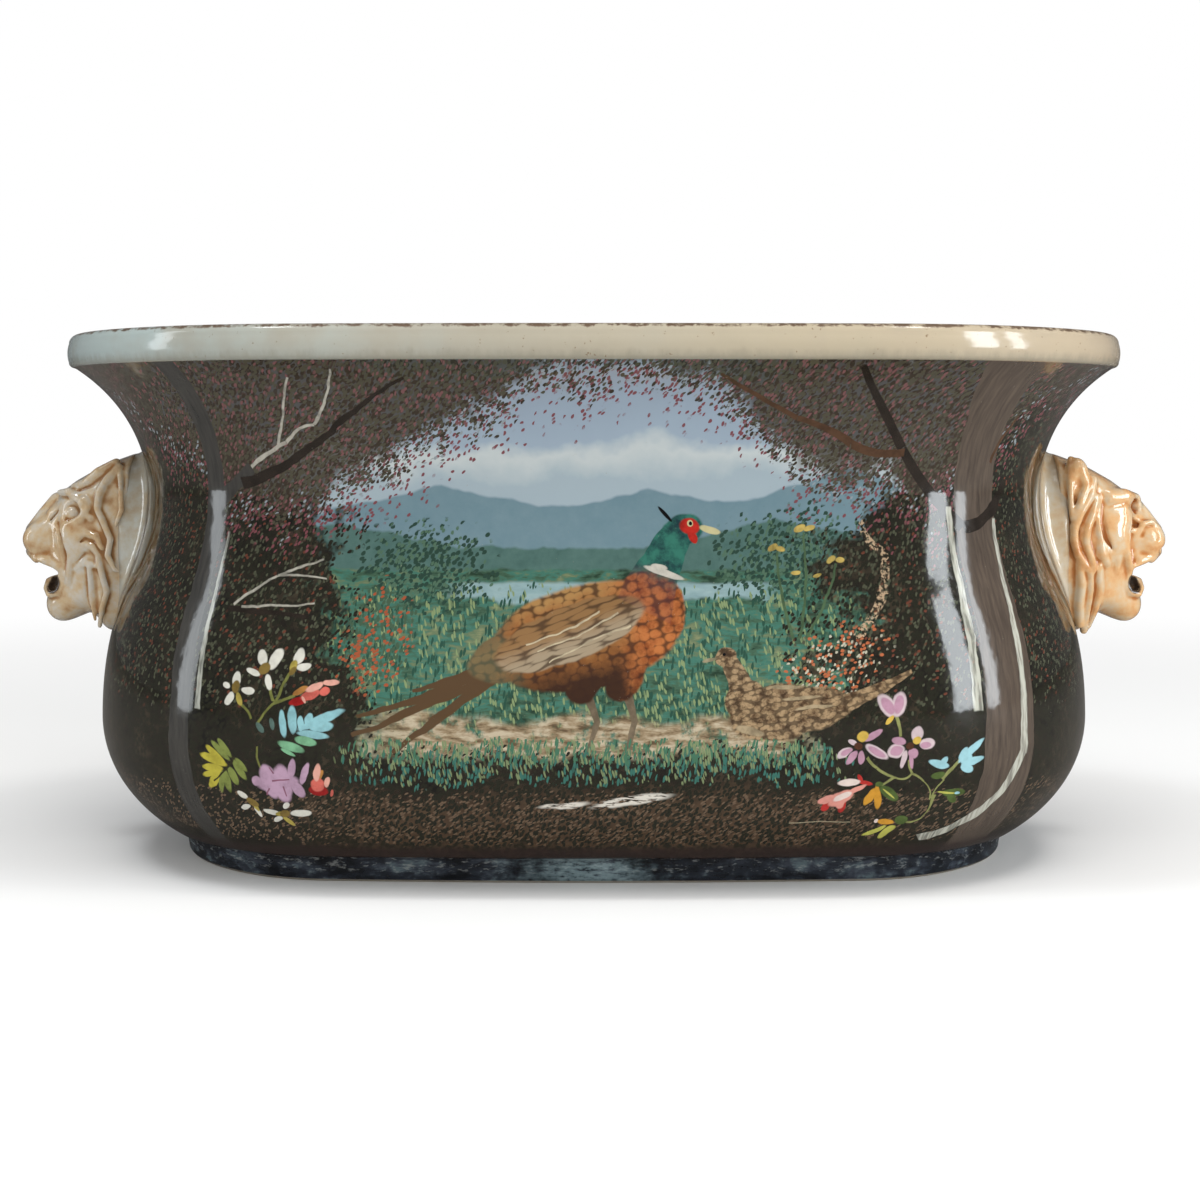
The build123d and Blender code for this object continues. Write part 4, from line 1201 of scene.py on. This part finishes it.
# Left cheek, which faces the viewer on the left-hand end
far_side = (
    ("add", 1.2, ((27.4, 8.0, 130.6), (21.6, 12.4, 132.4), (17.0, 13.8, 136.0), (11.0, 12.4, 139.6)),
     (1.4, 1.9, 2.0, 1.6)),
    ("cut", 0.9, ((24.6, 12.4, 129.4), (19.8, 14.6, 131.4), (15.6, 15.6, 134.6)), (0.6, 0.8, 0.5)),
    ("add", 1.0, ((9.6, 14.4, 138.2), (13.4, 16.0, 133.6), (16.0, 17.2, 128.8), (16.8, 17.6, 123.8)),
     (1.3, 1.5, 1.6, 1.2)),
    ("cut", 1.0, ((12.4, 18.0, 130.6), (12.6, 19.2, 126.2), (10.6, 19.8, 121.4)), (1.4, 2.9, 1.9)),
    ("add", 0.7, ((9.0, 15.4, 136.4), (8.0, 18.6, 129), (7.6, 19.4, 122.6), (9.6, 19.6, 117.2)),
     (0.8, 1.0, 1.1, 0.8)),
    ("ball", 0.8, (22.0, 15.0, 125.0), (2.7, 2.2, 2.7)),
    ("add", 0.9, ((32.6, 8.6, 128.6), (28.4, 12.0, 129.0), (24.4, 14.2, 126.0), (22.0, 15.8, 121.8),
                  (19.6, 16.8, 119.6)), (1.1, 1.5, 1.2, 1.1, 0.8)),
    ("hole", 1.2, (26.8, 14.9, 121.4), (3.4, 3.6, 4.0)),
    ("ball", 0.6, (27.2, 11.6, 120.8), (2.7, 2.4, 2.7)),
    ("add", 0.9, ((32.0, 11.6, 114.2), (27.4, 14.2, 117.0), (22.8, 16.0, 119.6), (20.6, 16.6, 123.0)),
     (1.1, 1.6, 1.4, 0.9)),
    ("ball", 0.9, (35.2, 5.6, 120.4), (2.8, 2.6, 2.8)),
    ("cut", 0.8, ((33.0, 9.2, 121.6), (36.2, 7.4, 117.6)), (0.8, 0.6)),
    ("ball", 1.8, (39.8, 4.4, 111.4), (7.4, 4.9, 6.4)),
    ("cut", 0.7, ((46.4, 4.6, 106.8), (42.6, 8.2, 105.6), (38.6, 9.9, 105.6), (34.4, 10.6, 107.0)),
     (0.4, 0.7, 0.7, 0.4)),
    ("cut", 1.2, ((32.6, 11.4, 117.4), (30.6, 12.9, 112.4), (29.4, 13.2, 106.0), (29.8, 12.6, 101)),
     (0.7, 1.3, 1.3, 0.6)),
    ("add", 0.9, ((27.2, 13.6, 112.8), (27.0, 13.8, 107), (27.8, 13.0, 101), (28.8, 12.0, 96)),
     (0.8, 1.2, 1.2, 0.8)),
    ("add", 0.7, ((26.6, 14.4, 112.6), (21.4, 16.2, 114.4), (17.4, 17.6, 113.0), (15.0, 18.2, 108.8)),
     (0.8, 1.2, 1.2, 0.8)),
    ("add", 0.7, ((25.6, 14.2, 106.4), (21.8, 15.8, 110.0), (18.6, 17.0, 109.4), (16.4, 17.6, 105.6)),
     (0.8, 1.1, 1.1, 0.8)),
    ("add", 0.7, ((25.4, 13.8, 101.2), (21.0, 15.6, 103.2), (17.4, 17.0, 102.2)), (0.7, 1.0, 0.8)),
    ("cut", 0.6, ((25.4, 15.0, 109.2), (21.4, 16.8, 112.2), (17.2, 18.2, 110.8)), (0.3, 0.6, 0.3)),
    ("cut", 0.6, ((24.8, 14.6, 103.6), (21.4, 16.2, 106.8), (17.6, 17.8, 106.4)), (0.3, 0.6, 0.3)),
    ("add", 0.8, ((16.8, 17.6, 122.6), (14.6, 18.6, 118.6), (11.6, 19.2, 112.0), (12.8, 18.8, 106.2),
                  (10.2, 19.0, 101.2), (8.6, 18.8, 100.4)), (1.0, 1.1, 1.2, 1.1, 0.9, 0.6)),
    ("add", 0.8, ((16.4, 17.6, 104.4), (14.8, 18.0, 98.4), (13.2, 17.8, 93.2), (15.4, 16.0, 87.0),
                  (16.8, 13.4, 80.4)), (0.9, 1.2, 1.2, 1.1, 0.9)),
    ("cut", 0.6, ((18.2, 17.4, 103.0), (17.6, 16.8, 96.6), (17.6, 15.4, 89.8), (18.2, 12.6, 83.0)),
     (0.4, 0.9, 0.8, 0.5)),
    ("add", 0.8, ((20.0, 16.2, 102.2), (19.6, 15.4, 96), (19.4, 13.6, 89), (19.0, 11.2, 82.4)),
     (0.8, 1.0, 1.0, 0.7)),
    ("cut", 0.6, ((21.6, 15.8, 102), (21.4, 14.8, 95.4), (20.9, 13.0, 88.4)), (0.3, 0.6, 0.3)),
)
for hand, features in ((-1, near_side), (1, far_side)):
    for work, slip, spot, sizes in features:
        if work in ("ball", "hole"):
            form = ball(spot[0], hand * spot[1], spot[2], *sizes)
        else:
            form = roll([(x, hand * y, z) for x, y, z in spot], sizes)
        lion = carved(lion, form, slip) if work in ("cut", "hole") else luted(lion, form, slip)
# The glaze softens every edge
for axis in (0, 1, 2):
    lion = (np.roll(lion, 1, axis) + 2 * lion + np.roll(lion, -1, axis)) / 4
MASK_BACK = 6.0
NOSE_REACH = 47.1
lion = np.maximum(np.maximum(lion, MASK_BACK - out), out - NOSE_REACH)


def skin(field, low, step):
    """Corners and quads of the surface where a field on a grid is nought."""
    inside = field < 0
    count = np.array(field.shape)
    cells = tuple(count - 1)
    total = np.zeros(cells + (3,))
    hits = np.zeros(cells)
    corner = [(i, j, k) for i in (0, 1) for j in (0, 1) for k in (0, 1)]
    for a in corner:
        for axis in range(3):
            if a[axis]:
                continue
            b = tuple(1 if n == axis else a[n] for n in range(3))
            cut_a = tuple(slice(a[n], a[n] + cells[n]) for n in range(3))
            cut_b = tuple(slice(b[n], b[n] + cells[n]) for n in range(3))
            crossed = inside[cut_a] != inside[cut_b]
            first, last = field[cut_a], field[cut_b]
            share = np.where(crossed, first / np.where(crossed, first - last, 1), 0)
            for n in range(3):
                total[..., n] += np.where(crossed, a[n] + (share if n == axis else 0), 0)
            hits += crossed
    live = hits > 0
    number = np.full(cells, -1)
    number[live] = np.arange(live.sum())
    index = np.stack(np.nonzero(live), 1)
    corners = np.array(low) + step * (index + total[live] / hits[live][:, None])
    quads = []
    for axis in range(3):
        p, q = (axis + 1) % 3, (axis + 2) % 3
        ahead = np.roll(inside, -1, axis)
        crossed = np.argwhere(inside != ahead)
        keep = np.all(crossed > 0, 1) & np.all(crossed < count - 1, 1)
        crossed = crossed[keep]
        turned = ~inside[tuple(crossed.T)]
        around = []
        for dp, dq in ((0, 0), (1, 0), (1, 1), (0, 1)):
            cell = crossed.copy()
            cell[:, p] -= dp
            cell[:, q] -= dq
            around.append(number[tuple(cell.T)])
        around = np.stack(around, 1)
        around[turned] = around[turned][:, ::-1]
        quads.append(around)
    return corners, np.concatenate(quads)


def pressing(name, corners, quads, turn, **washes_and_shades):
    """Object of one pressing on its end of the pot, turned half round for the left end."""
    moved = corners * MM
    moved[:, 0] += foot_corner.x + NECK_OFFSET
    if turn:
        moved[:, :2] *= -1
    mesh = bpy.data.meshes.new(name)
    mesh.from_pydata(moved.tolist(), [], quads.tolist())
    mesh.shade_smooth()
    for wash, amounts in washes_and_shades.items():
        mesh.attributes.new(wash, "FLOAT", "POINT")
        mesh.attributes[wash].data.foreach_set("value", np.clip(amounts, 0, 1))
    piece = bpy.data.objects.new(name, mesh)
    bpy.context.scene.collection.objects.link(piece)
    return piece


def spread(amounts, corners, quads):
    """Average of an amount over the neighbours of each corner."""
    total = np.zeros_like(amounts)
    near = np.zeros(len(corners))
    for first, last in ((0, 1), (1, 2), (2, 3), (3, 0)):
        for a, b in ((first, last), (last, first)):
            np.add.at(total, quads[:, a], amounts[quads[:, b]])
            np.add.at(near, quads[:, a], 1)
    return total / (near if amounts.ndim == 1 else near[:, None])


def lustre(name, pale, mid, deep):
    """Amber lustre: thin on the high places, brown where it pools in the hollows, which painted shade
    darkens further.
    """
    glaze = Glaze(name)
    place = glaze.place()
    wash = glaze.cloud(place, 15, 3)
    streak = glaze.cloud(place, 5, 4, 0.6)
    pooled_and_shaded = glaze.add("ShaderNodeAttribute", {"attribute_name": "hollow"}, {}, "Fac")
    dark = glaze.add("ShaderNodeAttribute", {"attribute_name": "dark"}, {}, "Fac")
    amount = wash * 0.5 + streak * 0.5 + pooled_and_shaded * 0.3
    colour = glaze.shades(amount, ((0.40, pale), (0.54, mid), (0.72, deep)))
    # Painted shade in the hollows: darker than the lustre's deepest colour
    colour = glaze.lay(pooled_and_shaded * 0.45, colour, tuple(part * 0.45 for part in deep))
    # Near black where the dark attribute says: the wall's dark glaze washed over the seats' edges, and
    # painted shade inside the lions' mouths
    return glaze, glaze.lay(dark, colour, (0.045, 0.028, 0.018)), streak


corners, quads = skin(lion, MASK_LOW, STEP)
# Hollows, where the lustre pools and where painted shade darkens the creases: corners that lie behind the
# average of those round them
smooth = corners
for _ in range(5):
    smooth = spread(smooth, corners, quads)
ways_out = np.zeros((len(corners), 3))
slants = np.cross(corners[quads[:, 2]] - corners[quads[:, 0]], corners[quads[:, 3]] - corners[quads[:, 1]])
for corner in range(4):
    np.add.at(ways_out, quads[:, corner], slants)
ways_out /= np.maximum(np.linalg.norm(ways_out, axis=1), 1e-6)[:, None]
sunk = np.sum((smooth - corners) * ways_out, axis=1)
POOL_AND_SHADE_FROM = 0.02
POOL_AND_SHADE_DEPTH = 0.16
hollow = spread((sunk - POOL_AND_SHADE_FROM) / POOL_AND_SHADE_DEPTH, corners, quads)
# The cup between the jaws is painted almost black, as painted shade inside the open mouth
mouth = np.zeros(len(corners))
for hand in (1, -1):
    from_cup = (corners - (34.9, hand * 8.6, 95.7)) / (3.0, 5.4, 3.7)
    mouth = np.maximum(mouth, (1.16 - np.linalg.norm(from_cup, axis=1)) / 0.1)
for name, turn in (("lion_right", False), ("lion_left", True)):
    piece = pressing(name, corners, quads, turn, hollow=hollow, dark=mouth * 0.92)
    node = "lion_mask_left" if turn else "lion_mask_right"
    shades = (
        ((0.52, 0.48, 0.41), (0.50, 0.37, 0.22), (0.34, 0.16, 0.055))
        if turn
        else ((0.62, 0.49, 0.33), (0.66, 0.39, 0.18), (0.54, 0.19, 0.045))
    )
    glaze, colour, streak = lustre("amber_lustre_" + name, *shades)
    glaze.finish(
        {"Coat Weight": 1.0, "Coat Roughness": 0.02},
        {
            "Base Color": colour,
            "Roughness": 0.12 + (streak - 0.5) * 0.10,
            "Normal": glaze.bump(streak, 0.12, 0.6 * MM),
        },
    )
    piece.data.materials.append(glaze.material)
    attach(piece, "root")
    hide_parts(node)

# Seats. A smooth pad of clay built up on each end wall and washed down into it with slip, with
# a round stub in the middle for the hollow mask. The lustre on it is pale and thin.
SEAT_MIDDLE = 112.2
SEAT_STEP = 0.8
SEAT_LOW = (-12.0, -32.0, 70.0)
grid = block_of_clay(SEAT_LOW, (14.0, 32.0, 156.0), SEAT_STEP)
out, side, height = np.meshgrid(*grid, indexing="ij")
SEAT_HALF_WIDTH = 19.5
SEAT_HALF_HEIGHT = 30.4
SEAT_REACH = 9.4
pad_near = np.sqrt((side / SEAT_HALF_WIDTH) ** 2 + ((height - SEAT_MIDDLE) / SEAT_HALF_HEIGHT) ** 2)
pad_slope = np.sqrt(
    (side / SEAT_HALF_WIDTH ** 2) ** 2 + ((height - SEAT_MIDDLE) / SEAT_HALF_HEIGHT ** 2) ** 2
)
edge = pad_near * (pad_near - 1) / np.maximum(pad_slope, 1e-4)
pad = -luted(-edge, SEAT_REACH - out, 3.0)
end_x, _, end_radius, _, _ = oval_arcs()[0]
wall_out = np.interp(height, outer_side[:, 1] / MM, outer_side[:, 0] / MM)
wall_face = end_x / MM + np.sqrt((end_radius / MM + wall_out) ** 2 - side ** 2)
wall_face = wall_face - (foot_corner.x + NECK_OFFSET) / MM
seat = luted(pad, out - wall_face + 0.3, 6.0)
seat = np.maximum(np.maximum(seat, wall_face - 1.5 - out), edge - 8.5)
seat_corners, seat_quads = skin(seat, SEAT_LOW, SEAT_STEP)
# Outside the pad's outline the slip is washed with the wall's dark glaze
off_middle = (seat_corners - (0, 0, SEAT_MIDDLE)) / (1, SEAT_HALF_WIDTH, SEAT_HALF_HEIGHT)
washed = (np.linalg.norm(off_middle[:, 1:], axis=1) - 1.08) / 0.09
for name, turn in (("seat_right", False), ("seat_left", True)):
    piece = pressing(name, seat_corners, seat_quads, turn, dark=washed)
    shades = (
        ((0.46, 0.47, 0.43), (0.42, 0.38, 0.30), (0.34, 0.23, 0.11))
        if turn
        else ((0.54, 0.48, 0.38), (0.52, 0.40, 0.26), (0.44, 0.24, 0.10))
    )
    glaze, colour, streak = lustre("pale_lustre_" + name, *shades)
    glaze.finish(
        {"Coat Weight": 1.0, "Coat Roughness": 0.02},
        {"Base Color": colour, "Roughness": 0.12 + (streak - 0.5) * 0.1},
    )
    piece.data.materials.append(glaze.material)
    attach(piece, "root")
    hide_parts("head_seat_left" if turn else "head_seat_right")

# Stage. A pale floor, tall windows at the sides, soft light from the ceiling and the front, and
# the camera at the photograph's angle.
FLOOR_REACH = 9
floor_corners = [(x * FLOOR_REACH, y * FLOOR_REACH, 0) for x, y in ((-1, -1), (1, -1), (1, 1), (-1, 1))]
floor_mesh = bpy.data.meshes.new("floor")
floor_mesh.from_pydata(floor_corners, [], [(0, 1, 2, 3)])
floor = bpy.data.objects.new("floor", floor_mesh)
bpy.context.scene.collection.objects.link(floor)
paper = Glaze("pale_floor")
SHADOW_REACH = 1.5
far_off = paper.stretch(paper.place(), MM / SHADOW_REACH, MM / SHADOW_REACH, 0)
far_off = paper.add("ShaderNodeTexGradient", {"gradient_type": "SPHERICAL"}, {0: far_off}, "Fac")
seen = paper.add("ShaderNodeLightPath", {}, {}, "Is Camera Ray")
tone = paper.lay(seen.beside("Is Glossy Ray"), (0.86, 0.86, 0.86), (0.16, 0.15, 0.14))
# Under and round the pot the floor takes its shadow; farther off it runs out into the white
glow = (1 - far_off.step(0.28, 0.80)) * seen
paper.finish(
    {"Roughness": 0.8, "Specular IOR Level": 0.1, "Emission Strength": 1.0},
    {
        "Base Color": paper.lay(glow, tone, (0, 0, 0)),
        "Emission Color": paper.lay(glow, (0, 0, 0), (1, 1, 1)),
    },
)
floor.data.materials.append(paper.material)


def lamp(name, place, aim, wide, tall, power, colour=(1, 1, 1), mirrored=True):
    """A soft flat lamp that faces a point, mirrored in the glaze or not."""
    light = bpy.data.lights.new(name, "AREA")
    light.shape = "RECTANGLE"
    light.size = wide
    light.size_y = tall
    light.energy = power
    light.color = colour
    holder = bpy.data.objects.new(name, light)
    holder.location = place
    holder.rotation_euler = (Vector(aim) - Vector(place)).to_track_quat("-Z", "Y").to_euler()
    holder.visible_glossy = mirrored
    bpy.context.scene.collection.objects.link(holder)


lamp("window_right", (1.24, -0.78, 0.42), (0.1, 0, 0.1), 0.30, 0.80, 7, (0.90, 0.96, 1))
lamp("window_right_pane", (1.33, -0.40, 0.42), (0.1, 0, 0.1), 0.16, 0.80, 3, (0.90, 0.96, 1))
lamp("window_left", (-1.35, -0.28, 0.46), (-0.1, 0, 0.1), 0.20, 0.95, 2.4, (0.90, 0.96, 1))
lamp("high_right", (0.8, -0.45, 2.1), (0.2, 0, 0.1), 0.30, 0.45, 7, (1, 0.98, 0.95))
lamp("high_left", (-0.8, -0.45, 2.1), (-0.2, 0, 0.1), 0.30, 0.45, 7, (0.92, 0.97, 1))
lamp("ceiling", (0, -0.7, 1.9), (0, 0, 0.1), 1.6, 1.2, 20, (1, 0.98, 0.95), False)
lamp("front", (0.3, -2.2, 0.9), (0, 0, 0.1), 1.4, 1.0, 14, (1, 0.98, 0.95), False)

camera_data = bpy.data.cameras.new("camera")
camera_data.sensor_width = 36
camera_data.lens = 60.99
camera_data.shift_x = 0.0051
camera_data.shift_y = -0.1408
camera = bpy.data.objects.new("camera", camera_data)
camera.location = (0, -0.75, 0.151)
camera.rotation_euler = (math.pi / 2, 0, 0)
bpy.context.scene.collection.objects.link(camera)
bpy.context.scene.camera = camera


class Room(Glaze):
    """The air round the pot, whose nodes are the world's."""

    def __init__(self):
        bpy.context.scene.world = bpy.data.worlds.new("room")
        bpy.context.scene.world.use_nodes = True
        self.tree = bpy.context.scene.world.node_tree
        self.shader = self.tree.nodes["Background"]


# White to the camera, a dim room in the glaze's mirror, and soft light on everything
SOFT_LIGHT = 0.42
DIM_ROOM = 0.12
room = Room()
seen = room.add("ShaderNodeLightPath", {}, {}, "Is Camera Ray")
level = SOFT_LIGHT - seen.beside("Is Glossy Ray") * (SOFT_LIGHT - DIM_ROOM)
room.finish({"Color": (1, 1, 1)}, {"Strength": level * (1 - seen) + seen})
bpy.context.scene.view_settings.view_transform = "Standard"
